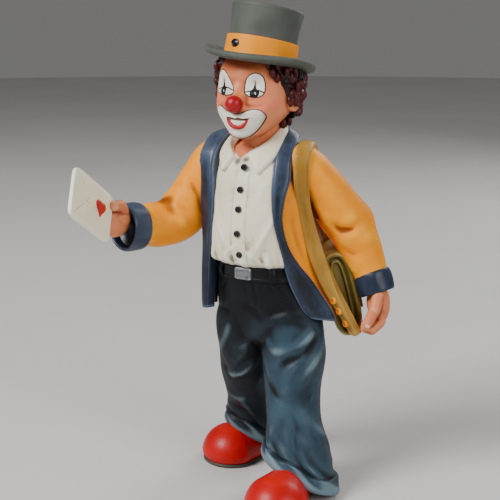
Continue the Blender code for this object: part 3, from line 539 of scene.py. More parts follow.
# inside the open fronts the jacket's inner side is painted near black, as painted shade
orange_paint = enamel("orange jacket paint", (242, 140, 0), (250, 154, 0), (112, 34, 0), (255, 184, 30),
                      wash_and_shade=0.85, dry_brush_and_highlight=0.45, rough=0.46, coat=0.0, hollow_at=(0.05, 0.7), crest_at=(0.1, 0.7),
                      gleam=0.16, also=(("inside_shade", (10, 14, 24)),))
band_paint = enamel("orange band paint", (242, 142, 0), (250, 156, 0), (130, 50, 0), (255, 190, 40), wash_and_shade=0.7,
                    dry_brush_and_highlight=0.4, rough=0.48, coat=0.0, gleam=0.16)
lapel_paint = enamel("slate lapel paint", (24, 34, 52), (42, 55, 77), (4, 6, 12), (92, 108, 134), wash_and_shade=0.9,
                     dry_brush_and_highlight=0.5, rough=0.4, coat=0.05, stretch=(1, 1, 0.35), hollow_at=(0.01, 0.2),
                     crest_at=(0.06, 0.4), also=(("piping", (250, 140, 10)),),
                     paler_paint_and_highlight=("paler_paint_and_highlight", (46, 58, 78), (70, 84, 104)))
navy_paint = enamel("navy trouser paint", (3, 5, 11), (7, 12, 21), (2, 3, 6), (118, 140, 150), wash_and_shade=0.9,
                    dry_brush_and_highlight=0.72, rough=0.5, coat=0.0, stretch=(1, 1, 0.3), hollow_at=(0.03, 0.7),
                    crest_at=(0.15, 1.05), gleam=0.25, paler_paint_and_highlight=("paler_paint_and_highlight", (40, 60, 74), (56, 80, 94)))
shirt_paint = enamel("cream shirt paint", (228, 219, 190), (238, 230, 204), (104, 92, 70), (252, 249, 238),
                     wash_and_shade=0.9, dry_brush_and_highlight=0.5, rough=0.48, coat=0.03, hollow_at=(0.04, 0.45), crest_at=(0.06, 0.4),
                     gleam=0.3, also=(("throat", (206, 116, 76)), ("fold_shadow", (112, 104, 88))))
belt_paint = enamel("black belt paint", (4, 4, 6), (10, 10, 13), (2, 2, 3), (46, 48, 54), wash_and_shade=0.6, dry_brush_and_highlight=0.4,
                    rough=0.4, coat=0.06, hollow_at=(0.01, 0.2), crest_at=(0.02, 0.2), gleam=0.25)
button_paint = enamel("black button paint", (8, 8, 9), (14, 14, 16), (2, 2, 3), (80, 82, 86), wash_and_shade=0.6,
                      dry_brush_and_highlight=0.5, rough=0.3, coat=0.3, hollow_at=(0.01, 0.1), crest_at=(0.02, 0.15))
shoe_paint = enamel("red shoe paint", (176, 0, 0), (192, 2, 2), (76, 0, 2), (230, 46, 28), wash_and_shade=0.8, dry_brush_and_highlight=0.2,
                    rough=0.4, coat=0.02, hollow_at=(0.03, 0.4), crest_at=(0.1, 0.5), gleam=0.3)
sole_paint = enamel("dark sole paint", (16, 13, 12), (28, 22, 20), (6, 4, 3), (104, 94, 82), wash_and_shade=0.7,
                    dry_brush_and_highlight=0.5, rough=0.5, coat=0.05, hollow_at=(0.01, 0.15), crest_at=(0.02, 0.15))
print(len(bpy.data.materials), "paints")

# %% [markdown]
# The letter, its seal, the bag, the hair, the nose and the nails get the same layers. The buckle is silver
# enamel, a paint with metal flakes, so its metallic value lies between paint and bare metal.

# %% Paints of the other parts
letter_paint = enamel("letter paper paint", (244, 233, 198), (249, 241, 212), (140, 124, 92), (253, 250, 236),
                      wash_and_shade=0.6, dry_brush_and_highlight=0.5, rough=0.52, coat=0.0, hollow_at=(0.02, 0.2), crest_at=(0.03, 0.2),
                      gleam=0.3)
heart_paint = enamel("red seal paint", (190, 0, 12), (210, 10, 20), (80, 0, 4), (250, 80, 76), wash_and_shade=0.7,
                     dry_brush_and_highlight=0.4, rough=0.28, coat=0.2, hollow_at=(0.02, 0.2), crest_at=(0.05, 0.3))
strap_paint = enamel("tan strap paint", (150, 108, 34), (172, 130, 56), (92, 58, 12), (204, 166, 92),
                     wash_and_shade=0.7, dry_brush_and_highlight=0.5, rough=0.46, coat=0.02, stretch=(1, 1, 0.4), hollow_at=(0.03, 0.3),
                     crest_at=(0.04, 0.3), gleam=0.25)
bag_paint = enamel("olive bag paint", (116, 100, 40), (138, 122, 58), (44, 36, 10), (196, 180, 108), wash_and_shade=0.8,
                   dry_brush_and_highlight=0.7, rough=0.46, coat=0.02, hollow_at=(0.06, 0.5), crest_at=(0.03, 0.3), gleam=0.3)
rivet_paint = enamel("orange rivet paint", (236, 128, 0), (248, 146, 4), (110, 40, 0), (255, 186, 60),
                     wash_and_shade=0.7, dry_brush_and_highlight=0.4, rough=0.42, coat=0.0, hollow_at=(0.01, 0.1), crest_at=(0.02, 0.15),
                     gleam=0.2)
hair_paint = enamel("dark curl paint", (26, 5, 7), (44, 8, 10), (4, 1, 1), (112, 26, 24), wash_and_shade=0.95, dry_brush_and_highlight=0.5,
                    rough=0.44, coat=0.03, hollow_at=(0.02, 0.5), crest_at=(0.2, 1.0), gleam=0.28)
nose_paint = enamel("red nose paint", (160, 0, 18), (176, 4, 24), (84, 0, 6), (224, 52, 50), wash_and_shade=0.6,
                    dry_brush_and_highlight=0.25, rough=0.38, coat=0.05)
nail_paint = enamel("nail paint", (240, 178, 150), (246, 192, 168), (170, 84, 56), (255, 222, 206), wash_and_shade=0.5,
                    dry_brush_and_highlight=0.4, rough=0.26, coat=0.5)

silver = Board("silver buckle paint")
silver_colour = coats(silver, rgb(112, 116, 118), rgb(138, 141, 142), rgb(44, 44, 46), rgb(200, 202, 200),
                      0.9, 0.7, (0.01, 0.14), (0.02, 0.16))
silver_paint = silver.finish(silver_colour, (silver.noise(500, 3) - 0.5) * 0.2 + 0.34,
                             silver.noise(1400, 3), coat=0.05, metal=0.3)
print(len(bpy.data.materials), "paints in all")

# %% [markdown]
# ## Skin and make-up
# The face is a doll's: skin in flesh enamel, and on it the usual clown's make-up, that is white patches over
# the eyes, a white muzzle, a thin ink line round both, and red lips. Each drawn form is a value on the mesh:
# the distance to its outline, above 0 inside. The paint turns it into a crisp edge with a soft step, so the
# lines stay sharp at any zoom, with no image.

# %% Paint of skin and face
def flesh(name, made_up):
    """Skin enamel; where the face has make-up, the layers go on one after another."""
    board = Board(name)
    skin = coats(board, rgb(212, 122, 78), rgb(224, 138, 94), rgb(136, 44, 14), rgb(250, 192, 156),
                 0.85, 0.5, (0.02, 0.4), (0.05, 0.5))
    if made_up:
        mottle = (board.noise(260, 4) - 0.5) * 0.5
        # grey-brown painted shade on the white make-up
        white = board.blend((board.read("painted_grey_shade") + mottle).step(0.15, 1.1) * 0.7, rgb(228, 223, 210),
                            rgb(150, 138, 118))
        lips = board.blend(board.noise(300, 3).step(0.4, 0.7), rgb(168, 0, 20), rgb(192, 10, 32))
        # the brown of the mouth, left showing above the teeth, is painted shade under the upper lip
        for value, low, high, cover, tone in (
                ("blush", 0.0, 1.0, 0.6, rgb(232, 116, 88)), ("shade", 0.0, 1.0, 0.8, rgb(150, 54, 24)),
                ("white", -0.06, 0.06, 1.0, white), ("mouth", -0.05, 0.05, 1.0, rgb(112, 78, 64)),
                ("teeth", -0.06, 0.1, 1.0, rgb(222, 216, 204)), ("lips", -0.05, 0.05, 1.0, lips),
                ("ink", -0.05, 0.05, 1.0, rgb(14, 12, 12)), ("glint", -0.04, 0.04, 1.0, rgb(236, 238, 240))):
            skin = board.blend(board.read(value).step(low, high) * cover, skin, tone)
    roughness = (board.noise(340, 3) - 0.5) * 0.16 + 0.46
    return board.finish(skin, roughness, board.noise(1200, 3), coat=0.02, gleam=0.28)


skin_paint = flesh("skin paint", False)
face_paint = flesh("face paint", True)
print("skin and face paints ready")

# %% [markdown]
# ## Camera, floor and light
# The photograph looks a little down at the figure from its left front with a short telephoto lens. The floor
# is a plain pale disc. Three large soft lights stand in for a light tent: one high at the left front, a
# weaker one at the right, and one behind that draws the rims.

# %% Camera, floor and lights
camera = bpy.data.objects.new("camera", bpy.data.cameras.new("camera"))
bpy.context.scene.collection.objects.link(camera)
camera.data.lens = 76.75
camera.data.sensor_width = 36.0
camera.location = (0.21075, -0.35747, 0.200)
camera.rotation_euler = (math.radians(76.8), 0, math.radians(30))
bpy.context.scene.camera = camera

FLOOR_RADIUS, FLOOR_DEPTH, FLOOR_CORNERS = 2.5, 0.0001, 96
floor_board = Board("pale floor")
floor_tone = floor_board.blend(floor_board.noise(6, 2).step(0.3, 0.7), (0.60, 0.59, 0.575, 1),
                               (0.63, 0.62, 0.605, 1))
floor_board.finish(floor_tone, floor_board.noise(40, 2) * 0.1 + 0.5, floor_board.noise(300, 2))
a = turns(FLOOR_CORNERS)
rim = np.stack([FLOOR_RADIUS * np.sin(a), -FLOOR_RADIUS * np.cos(a), 0 * a - FLOOR_DEPTH], -1)
floor_mesh = bpy.data.meshes.new("floor")
floor_mesh.from_pydata(rim.tolist(), [], [list(range(FLOOR_CORNERS))])
floor_mesh.materials.append(floor_board.material)
floor = bpy.data.objects.new("floor", floor_mesh)
bpy.context.scene.collection.objects.link(floor)

LIGHTS = (("key light", (-0.40, -0.72, 0.80), 0.5, 15), ("fill light", (0.85, -0.25, 0.55), 0.6, 5),
          ("rim light", (0.15, 0.8, 0.6), 0.5, 4))
for name, place, size, power in LIGHTS:
    lamp = bpy.data.lights.new(name, "AREA")
    lamp.shape, lamp.size, lamp.energy = "DISK", size, power
    holder = bpy.data.objects.new(name, lamp)
    bpy.context.scene.collection.objects.link(holder)
    holder.location = place
    aim = np.array([0.0, 0.0, 0.1]) - np.array(place)
    flat = math.hypot(aim[0], aim[1])
    holder.rotation_euler = (math.atan2(flat, -aim[2]), 0, math.atan2(-aim[0], aim[1]))

world = bpy.data.worlds.new("studio")
world.use_nodes = True
sky = world.node_tree.nodes["Background"].inputs
sky["Color"].default_value, sky["Strength"].default_value = (0.85, 0.84, 0.82, 1), 0.2
bpy.context.scene.world = world
print("camera, floor and", len(LIGHTS), "lights")

# %% [markdown]
# ## The shirt
# A cream shirt stretched over the chest and bloused over the belt. Its body is one lofted skin; the button
# placket is a low raised strip, and the hem waves in and out where the cloth is tucked in.

# %% Shirt
TRUNK = [
    (145, -0.4, -7.2, 8, 7.2, 0.34, 0), (142.6, -1, -9.8, 9.4, 12.8, 0.30, 0),
    (139.8, -0.8, -12.2, 10.8, 16.6, 0.24, 0), (136.2, 0, -14, 11.8, 18, 0.16, 0),
    (131, 0, -15.6, 12.8, 19.2, 0.06, 0), (124, 0, -17, 13.2, 19.5, 0, 0),
    (117, 0, -18.3, 13.2, 19.6, 0, 0), (110, 0, -19, 13.2, 19.9, 0, 0),
    (103.5, 0.2, -18.6, 13.4, 20.5, 0, 0), (98.8, 0.4, -17.7, 13.6, 21, 0, 0),
    (96.4, 0.5, -16.4, 13.4, 20.4, 0, 0), (94.6, 0.5, -12.5, 11.5, 17, 0, 0)]
SHIRT_FOLDS = [
    (22, 105, 2, 5, 8, 0.5), (-20, 107, -2.2, 5, 7, 0.45), (36, 112, 1.6, 5, 9, 0.4),
    (-36, 118, -1.6, 5, 9, 0.35), (12, 101, -3, 4, 4, 0.4), (-12, 102, 3, 4, 4, 0.4),
    (28, 128, 1.4, 5, 7, 0.25), (-28, 130, -1.2, 5, 7, 0.25)]


PLACKET_HIGH, CHEST_RADIUS = 0.22, 19.0


def shirt_relief(a, z, share):
    """The placket, a raised strip of half width 2.65 with its edge line, and hem waves that swell toward the
    belt as the sum of three sines."""
    side = (np.degrees(a) + 180) % 360 - 180
    across = side / 57.3 * CHEST_RADIUS
    strip = PLACKET_HIGH * (soft_step(across, -2.9, -2.4) - soft_step(across, 2.4, 2.9))
    edge = -0.22 * np.exp(-((np.abs(across) - 2.7) / 0.22) ** 2)
    swell = soft_step(-z, -104, -97.2)
    waves = 0.5 * np.sin(13 * a + 0.4) + 0.35 * np.sin(23 * a + 1.3) + 0.25 * np.sin(37 * a)
    return (strip + edge) * (z < 139) + swell * (0.35 + 0.75 * waves)


shirt = solid("shirt", [closed(ovals(TRUNK, 210, 380, 2.1, SHIRT_FOLDS, shirt_relief))])
points, _ = shares_of(shirt)
rise, aside = points[:, 2] - 138.4, points[:, 0] + 3.4
opening = np.minimum(rise * 2.2 + aside, rise * 1.1 - aside)
mark(shirt, "throat", np.where(points[:, 1] < 0, opening, -1.0))
shadow = np.maximum(1 - np.hypot((points[:, 0] + 4.2) / 2.6, (points[:, 2] - 137.4) / 2.2),
                    1 - np.hypot((points[:, 0] + 0.6) / 2.4, (points[:, 2] - 138.2) / 1.4))
mark(shirt, "fold_shadow", np.where(points[:, 1] < 0, shadow * 0.24, -1.0))
piece("shirt", shirt, shirt_paint, 160)

# %% [markdown]
# Neck and buttons come next. Each button is turned like a real one, with a rim round a hollow, and is set on
# the shirt's own front line, a little below its surface so that no gap shows.

# %% Neck and buttons
NECK = [(-0.4, 2, 136, 7.6), (-0.4, 1.8, 143, 7.8), (-0.5, 1.2, 149, 8.2), (-0.6, 0.6, 154, 8.6)]
NECK_CORDS = ((-28, 0.35, 20, 5, 0.3, 0.35), (28, 0.35, -20, 5, 0.3, 0.35))
piece("neck", [tube(NECK, 60, 120, (0, 1, 0), NECK_CORDS)], skin_paint, 60)

BUTTON_PLACES = ((135.7, 0.5), (127, 0), (119.3, 0), (109.6, 0), (101, 0.6))
BUTTON_PROFILE = [(0.05, -0.5), (1.2, -0.5), (1.36, -0.2), (1.4, 0.35), (1.3, 0.66), (1.12, 0.74),
                  (0.98, 0.66), (0.9, 0.5), (0.5, 0.46), (0.06, 0.46)]
shirt_at = smooth(TRUNK, 400)[::-1]
buttons = []
for z, x in BUTTON_PLACES:
    front, back, half = (np.interp(z, shirt_at[:, 0], shirt_at[:, k]) for k in (2, 3, 4))
    y = (front + back) / 2 - (back - front) / 2 * math.sqrt(1 - (x / half) ** 2) - 0.28
    buttons.append(lathe(smooth(BUTTON_PROFILE, 40), (x, y, z), (0.02, -1.0, 0.05), 48))
piece("buttons", buttons, button_paint)

# %% [markdown]
# ## Trousers
# Two wide legs and the hips, modelled as lofts and fused into one cloth. The folds are drawn as smooth lines
# over the knees and ankles: a line with a height above 0 lifts a crest, one below 0 presses a valley.

# %% Form of the trousers
HIPS = [
    (97, 0.5, -13, 12.5, 18, 0, 0), (92, 0.8, -14, 13, 19.2, 0, 0),
    (86, 1.6, -13.8, 13.6, 20.6, 0, 0), (78, 3, -13, 14.2, 22.4, 0, 0),
    (70, 4.2, -12, 13.8, 23.4, 0, 0), (63.5, 5, -9.8, 12.2, 22, 0, 0),
    (59.5, 5.4, -5, 8, 15, 0, 0)]
RIGHT_LEG = [
    (82, -5.5, -8, 10, 9, 0, 0), (73, -7, -11.6, 13.2, 12.4, 0, 0),
    (62.5, -8, -10.6, 13.8, 12.2, 0, 0), (52, -9.4, -7.2, 14.8, 11.2, 0, 0),
    (42, -10.6, -3.6, 16.8, 10.4, 0, 0), (33, -11.6, 0.2, 19.8, 9.8, -0.04, 0),
    (25, -12.4, 3.2, 23.4, 10, -0.12, -0.08), (17.5, -13, 5, 27.6, 11.6, -0.24, -0.2),
    (11, -13.2, 5.4, 31, 13.2, -0.32, -0.3), (8.6, -13.2, 6.8, 30.6, 12.4, -0.34, -0.32)]
RIGHT_LEG_FOLDS = [
    (40, 60, 2.4, 16, 9, 1), (5, 50, 2.2, 15, 9, 0.8), (-40, 63, -1.6, 16, 9, 0.8),
    (-60, 44, -1.2, 18, 9, 0.7), (60, 40, 1.8, 16, 8, 0.8), (20, 26, -1.5, 14, 6, 0.9),
    (-50, 22, 1.2, 16, 6, 0.9), (150, 60, 2, 18, 10, 0.8),
    (200, 46, -2, 18, 9, 0.8), (130, 26, 1.4, 18, 7, 0.9), (235, 24, -1, 18, 7, 0.8)]
LEFT_LEG = [
    (82, 11, -7.5, 10.5, 9, 0, 0), (72, 13.6, -11.4, 14.2, 12.6, 0, 0),
    (61, 14.8, -12.6, 14, 13.2, 0, 0), (51, 15.8, -13.4, 11.6, 12.4, 0, 0),
    (41, 16.8, -14.2, 9, 11.6, 0, 0), (31, 18.4, -15.8, 7, 11.4, -0.04, 0),
    (23, 20.4, -18.2, 6.6, 12.6, -0.12, -0.12), (15.4, 22.4, -21.4, 7.4, 14.4, -0.2, -0.3),
    (10, 23.6, -23.6, 8, 16, -0.24, -0.42), (7.9, 23.6, -21.8, 7, 14.9, -0.24, -0.40)]
LEFT_LEG_FOLDS = [
    (38, 58, 2.4, 14, 13, 1.3), (66, 56, 2.2, 13, 10, 1), (4, 62, 1.6, 14, 8, 0.7),
    (10, 40, 1.4, 18, 6, 0.9), (52, 30, -1.6, 14, 9, 1),
    (84, 26, -1.2, 14, 8, 0.9), (16, 24, -0.8, 15, 6, 0.8),
    (-28, 30, 1.2, 16, 9, 0.8), (112, 56, -2, 18, 11, 0.9), (160, 60, 2, 18, 10, 0.8),
    (190, 40, -2, 18, 9, 0.9), (140, 24, 1.2, 18, 7, 0.9), (230, 22, -1, 18, 7, 0.8)]


trousers = fused("trousers", [closed(ovals(HIPS, 60, 160, 2.2)),
                              closed(ovals(RIGHT_LEG, 220, 240, 2.0, RIGHT_LEG_FOLDS)),
                              closed(ovals(LEFT_LEG, 220, 240, 2.0, LEFT_LEG_FOLDS))], 0.5, 4)
print("trousers fused", len(trousers.polygons), "faces")

# %% [markdown]
# Each row below is one fold of the trousers, as a line of places, a width and a height. Among the last rows
# are the fly, the pockets and the seam at the back. The hems are turned up, so they are thicker below a
# slanted level, with a groove at the edge. The lower legs, the left one most, are painted paler, and paler
# still as painted highlight where they face up and toward the front left.

# %% Folds and hems of the trousers
def hems(mesh, legs):
    """Turned-up hems: below a slanted level the cloth is 0.5 thicker, with a groove exp(-(off / 0.45)^2) on
    the edge. A row of legs is (centre x, centre y, slant along y, slant along x, height, side)."""
    points, normals = shares_of(mesh)
    x, y, z = points.T
    lift = np.zeros(len(points))
    for mid_x, mid_y, slant_y, slant_x, top, side in legs:
        round_way = np.arctan2(x - mid_x, mid_y - y)
        wave = 0.5 * np.sin(3 * round_way + 0.6) + 0.35 * np.sin(5 * round_way)
        off = z - slant_y * (y - mid_y) - slant_x * (x - mid_x) - top - wave
        own = ((x - 4.0) * side > 0) & (z < 36)
        fold = 0.5 * np.sin(7 * round_way + 0.8 * off) * np.exp(-(off / 5.0) ** 2)
        lift += own * (0.5 * soft_step(-off, 0, 0.5) - 0.6 * np.exp(-((off - 0.3) / 0.45) ** 2) + fold)
    set_shares(mesh, points + normals * lift[:, None])


TROUSER_CREASES = [
    ([(10.6, -12.3, 76.4), (14, -11.4, 77.3), (18, -9.8, 78.7)], 1.2, -0.7),
    ([(8.7, -11.8, 71.4), (13.6, -11.4, 74), (19.1, -9.4, 75.6), (23.2, -6.4, 75.8)], 1.4, 0.7),
    ([(26.5, -2.6, 70), (25.9, -5.6, 67.9), (23.5, -9.2, 64.9), (18.9, -12.1, 61.7), (12.1, -12.6, 59.9)],
     1.6, 1),
    ([(28.5, -0.2, 60.7), (27.8, -4.7, 57), (25.7, -9, 53.4), (22.9, -12, 48.5), (19.8, -14.3, 44.6)],
     1.8, 1),
    ([(27.7, -0.5, 67.2), (26.4, -6.4, 63), (22.6, -11.6, 58.6), (16.8, -13, 55.9)], 1.4, -1),
    ([(7.8, -10.9, 66.9), (11.4, -12.2, 62.5), (15.9, -13, 60.7)], 1.3, 0.7),
    ([(6.6, -9.5, 58.1), (10, -11.9, 51.1), (12.5, -13.1, 46.9)], 1.6, 0.8),
    ([(7.1, -9.8, 55.2), (10.6, -12.2, 47.7), (15.7, -14.5, 42.8), (19.6, -14.6, 41.4)], 1.3, -0.8),
    ([(28.1, -0.5, 47.7), (28, -4.8, 42.4), (27.4, -7.2, 41.7)], 1.5, 0.7),
    ([(27.5, 2.7, 46.1), (26.7, -8.6, 40.8)], 1.2, -0.7),
    ([(21.7, -14.7, 35.2), (23.2, -15.1, 30.8), (27.1, -15.3, 25.5), (31.1, -13.9, 21)], 1.6, 0.9),
    ([(27.4, -9.8, 36), (30.3, -8, 29.7), (31.7, -1.1, 22.6), (32.6, 1.1, 16)], 1.6, 0.9),
    ([(28.8, -18.5, 18.2), (32.6, -16.7, 14.8), (36.2, -12.7, 11.4)], 1.3, 0.6),
    ([(16, -16, 34), (14.6, -17.5, 26), (13.6, -20, 19)], 1.5, 0.7),
    ([(24.6, -15, 33), (25.5, -16.4, 27), (27, -18, 21)], 1.1, -0.7),
    ([(-7.5, -11.6, 70.5), (-10.5, -10.5, 63.9), (-15.3, -6.7, 54.8)], 1.6, 0.9),
    ([(2.2, -10.9, 66.8), (-1.6, -9.2, 61.2), (-6.5, -9.5, 58.4)], 1.4, 0.8),
    ([(-0.1, -3.7, 54.4), (-5.2, -4.5, 47.3), (-9.3, -4.8, 44.6)], 1.5, 0.8),
    ([(-15.3, -5.1, 50), (-13.6, -4.1, 43.5), (-11.2, -4.1, 42.7)], 1.2, -0.8),
    ([(-16.9, -2.6, 45.2), (-10.4, -4.9, 44.3), (-4.3, -4.1, 47.5), (-0.5, -3, 52.4)], 1.4, 0.8),
    ([(-18, 0.5, 34), (-12, -1, 31), (-6, 0.5, 33)], 1.5, 0.7),
    ([(-19, 3, 27), (-13, 1.5, 24.5), (-7, 3, 25.5)], 1.3, -0.6),
    ([(4.2, -13.7, 89.3), (4.6, -13.5, 85.7), (5.3, -13.2, 81.7), (4.1, -12.8, 76.2)], 0.5, -0.5),
    ([(0.6, -14, 89.3), (0.8, -13.8, 84), (1.6, -13.2, 79)], 0.4, -0.35),
    ([(-1.2, -12.9, 79.1), (3.3, -12.9, 77.3), (7.3, -12, 72)], 1.2, -0.8),
    ([(10.3, -12.7, 88.5), (14.1, -11.6, 84.2), (17.8, -9.4, 81.5)], 0.5, -0.5),
    ([(-9.5, -12.4, 88.5), (-13, -11.4, 84.2), (-16.5, -9.4, 81.5)], 0.5, -0.5),
    ([(-12, 12.5, 70), (-9, 14.5, 64), (-3, 14, 60)], 1.6, 0.9),
    ([(18, 14, 72), (12, 14.6, 66), (6, 13, 62)], 1.6, 0.9),
    ([(22, 10, 52), (16, 11.6, 47), (9, 8, 44)], 1.6, 0.8),
    ([(-16, 13, 50), (-10, 15.6, 45), (-4, 12, 41)], 1.6, 0.8),
    ([(2.6, 14.2, 88), (3.4, 14.8, 80), (3.8, 14, 72)], 0.8, -0.7)]
crease(trousers, TROUSER_CREASES, 1.35, 0.95)
hems(trousers, ((-13.2, 18.2, -0.32, -0.30, 15.4, -1), (23.6, -7.8, -0.24, -0.42, 14.6, 1)))
# paler paint on the lower legs, with painted highlight where the cloth faces up and toward the front left
points, normals = shares_of(trousers)
lit = np.clip(normals @ unit((0.45, -0.75, 0.45)), 0, 1)
leg = 0.3 + 0.65 * soft_step(points[:, 0], -2, 6)
mark(trousers, "paler_paint_and_highlight", soft_step(-points[:, 2], -82, -62) * leg * (0.3 + 0.8 * lit))
piece("trousers", trousers, navy_paint, 120)

# %% [markdown]
# ## Belt and buckle
# A plain strap of black leather lies over the top of the trousers, held by cloth loops. The buckle is a plain
# silver plate with a bevelled rim.

# %% Belt, loops and buckle
BELT = [(89.6, 0.9, -14.4, 13.4, 19.6, 0, 0), (89.7, 0.9, -15, 13.8, 20.2, 0, 0),
        (90.4, 0.9, -15.1, 13.9, 20.3, 0, 0), (92.7, 0.8, -15.05, 13.8, 20, 0, 0),
        (95.2, 0.6, -15, 13.7, 19.5, 0, 0), (95.9, 0.6, -14.9, 13.6, 19.4, 0, 0),
        (96, 0.6, -14.2, 13, 18.6, 0, 0)]
BELT_GROOVES = [(0, 90.9, 0, 400, 0.22, -0.16), (0, 95, 0, 400, 0.22, -0.16)]
belt = closed(ovals(BELT, 90, 260, 2.15, BELT_GROOVES))
piece("belt", [belt], belt_paint, 30)

loops = []
belt_at = np.array(BELT)
for degrees in (34, -36, 92, 150, 205, 268):
    a = math.radians(degrees)
    places = []
    for z, stand in ((88.6, -0.3), (89.4, 0.75), (92.8, 0.95), (96.2, 0.8), (97.0, -0.3)):
        mid, front, back, half = (np.interp(z, belt_at[:, 0], belt_at[:, k]) for k in (1, 2, 3, 4))
        places.append((mid + (half + stand) * bend(math.sin(a), 2.15),
                       (front + back) / 2 - ((back - front) / 2 + stand) * bend(math.cos(a), 2.15), z))
    places = np.array(places)
    side = np.array([math.cos(a), math.sin(a), 0.0]) * 1.35
    loops.append(ribbon(places + side, places - side, (0.9, 0.9), 48, 40, 0.05, 0.1, 0.7))
piece("belt_loops", loops, navy_paint)

BUCKLE_PROFILE = [(0.5, -1.2), (0.05, -1.1), (0, -0.8), (0, 0.2), (0.1, 0.5), (0.35, 0.66), (0.7, 0.68),
                  (0.95, 0.6), (1.3, 0.62), (1.9, 0.68), (2.25, 0.7)]
buckle = plate((7.4, 4.9), smooth(BUCKLE_PROFILE, 44), 160, 7.0, ((1, 0, 0), (0, 0, 1), (0, -1, 0)),
               (0.3, -15.3, 92.5))
piece("buckle", [buckle], silver_paint)

# %% [markdown]
# ## The jacket
# An open jacket with two sleeves. Its body is a wall of even thickness that runs round the back from one
# front edge to the other. Body and sleeves are fused, so the armholes run together as they do in a cast,
# and the elbow folds are then pressed and raised along lines.

# %% Form of the jacket
JACKET = [
    (145.4, -0.6, -5.4, 10.4, 10.6, 0.30, 66, 72), (142.8, -1.2, -8.8, 12.2, 15.8, 0.26, 56, 62),
    (139.2, -1.4, -11.8, 13.6, 19.8, 0.18, 46, 50), (133, -1, -14.2, 14.8, 21.4, 0.08, 42, 43),
    (124, -0.3, -16.6, 15.4, 21.6, 0, 42, 44), (114, 0.3, -17.6, 15.4, 21.8, 0, 43, 45),
    (104, 0.8, -17.2, 15.4, 22.6, 0, 47, 47), (95, 1.4, -16, 16, 23.8, 0, 52, 53),
    (86, 2.2, -15, 17.4, 25.4, 0, 60, 55), (79, 2.8, -14.8, 18.8, 26.8, 0, 68, 55),
    (75.4, 3, -14.6, 19.4, 27.4, 0, 72, 55)]
JACKET_FOLDS = [
    (110, 84, 0.6, 16, 12, 1.1), (150, 82, -0.5, 16, 14, 1.2), (190, 84, 0.4, 16, 13, 1.1),
    (225, 82, 0.2, 15, 12, 1), (262, 84, -0.4, 16, 12, 0.9), (160, 112, 2, 18, 9, 0.8),
    (205, 116, -2, 18, 9, 0.8), (95, 108, 1.5, 16, 8, 0.6)]
JACKET_THICK = 2.6
RIGHT_SLEEVE = [
    (-13, 1, 137.4, 6.4), (-20.4, -0.6, 135.6, 9.2), (-25.2, -2.8, 127.8, 9.9),
    (-29.4, -5.8, 119.6, 10.1), (-33.2, -9.4, 112.6, 10.2), (-36.2, -14.4, 110, 9.8),
    (-38.6, -20.2, 109.6, 9), (-41, -28, 110.1, 8.3), (-41.6, -29.8, 110.2, 7.2)]
LEFT_SLEEVE = [
    (12, 1.5, 138.4, 6), (17, 1.8, 135.8, 8.8), (22.8, 5.8, 128.6, 9.3), (28.2, 10, 120.2, 9.5),
    (32.8, 13.6, 112, 9.8), (37.2, 14.9, 103.4, 9), (40.8, 15, 96.6, 7.6), (43.9, 14.6, 89.6, 6.6),
    (44.8, 14.5, 88, 5.6)]
SLEEVE_FOLDS = [
    (40, 0.50, 260, 34, 0.07, 0.9), (120, 0.62, -240, 34, 0.06, 0.8), (220, 0.42, 240, 34, 0.07, 0.8),
    (300, 0.56, -260, 34, 0.06, 0.8), (180, 0.74, 200, 34, 0.05, 0.6), (20, 0.78, -200, 34, 0.05, 0.6)]


def open_wall(rows, around):
    """The jacket's body: at each height a wall from the left front edge round the back to the right one, out
    by half + lift times the sine, then back again one thickness further in."""
    z, cx, front, back, half, rise, left, right = smooth(JACKET, rows).T[:, :, None]
    a = np.radians(left + (360 - right - left) * np.linspace(0, 1, around)[None, :])
    lift = fold_lift(a, z, JACKET_FOLDS)
    walls = []
    for inset in (0.0, JACKET_THICK):
        x = (half - inset + lift) * np.sin(a)
        y = -((back - front) / 2 - inset + lift) * np.cos(a)
        walls.append(np.stack([cx + x, (front + back) / 2 + y, z + rise * y], axis=-1))
    points, quads, _ = closed(np.concatenate([walls[0], walls[1][:, ::-1]], axis=1))
    j, n, last = np.arange(around - 1), 2 * around, (rows - 1) * 2 * around
    ends = [np.stack([j + 1, j, n - 1 - j, n - 2 - j], axis=-1),
            np.stack([j, j + 1, n - 2 - j, n - 1 - j], axis=-1) + last]
    return points[:rows * n], np.vstack([quads, *ends]), np.zeros((0, 3), int)


jacket = fused("jacket", [open_wall(150, 220), tube(RIGHT_SLEEVE, 150, 120, (0, 0, 1), SLEEVE_FOLDS),
                          tube(LEFT_SLEEVE, 150, 120, (0, 1, 0), SLEEVE_FOLDS)], 0.62, 6)
print("jacket fused", len(jacket.polygons), "faces")

# %% [markdown]
# The sleeves crease at the elbows, the armpits pull, and a seam runs down the middle of the back. Inside
# the open fronts the jacket's inner side is painted near black as painted shade. It is found by how far a
# point lies from the middle of the body, against the wall's outer radius there.

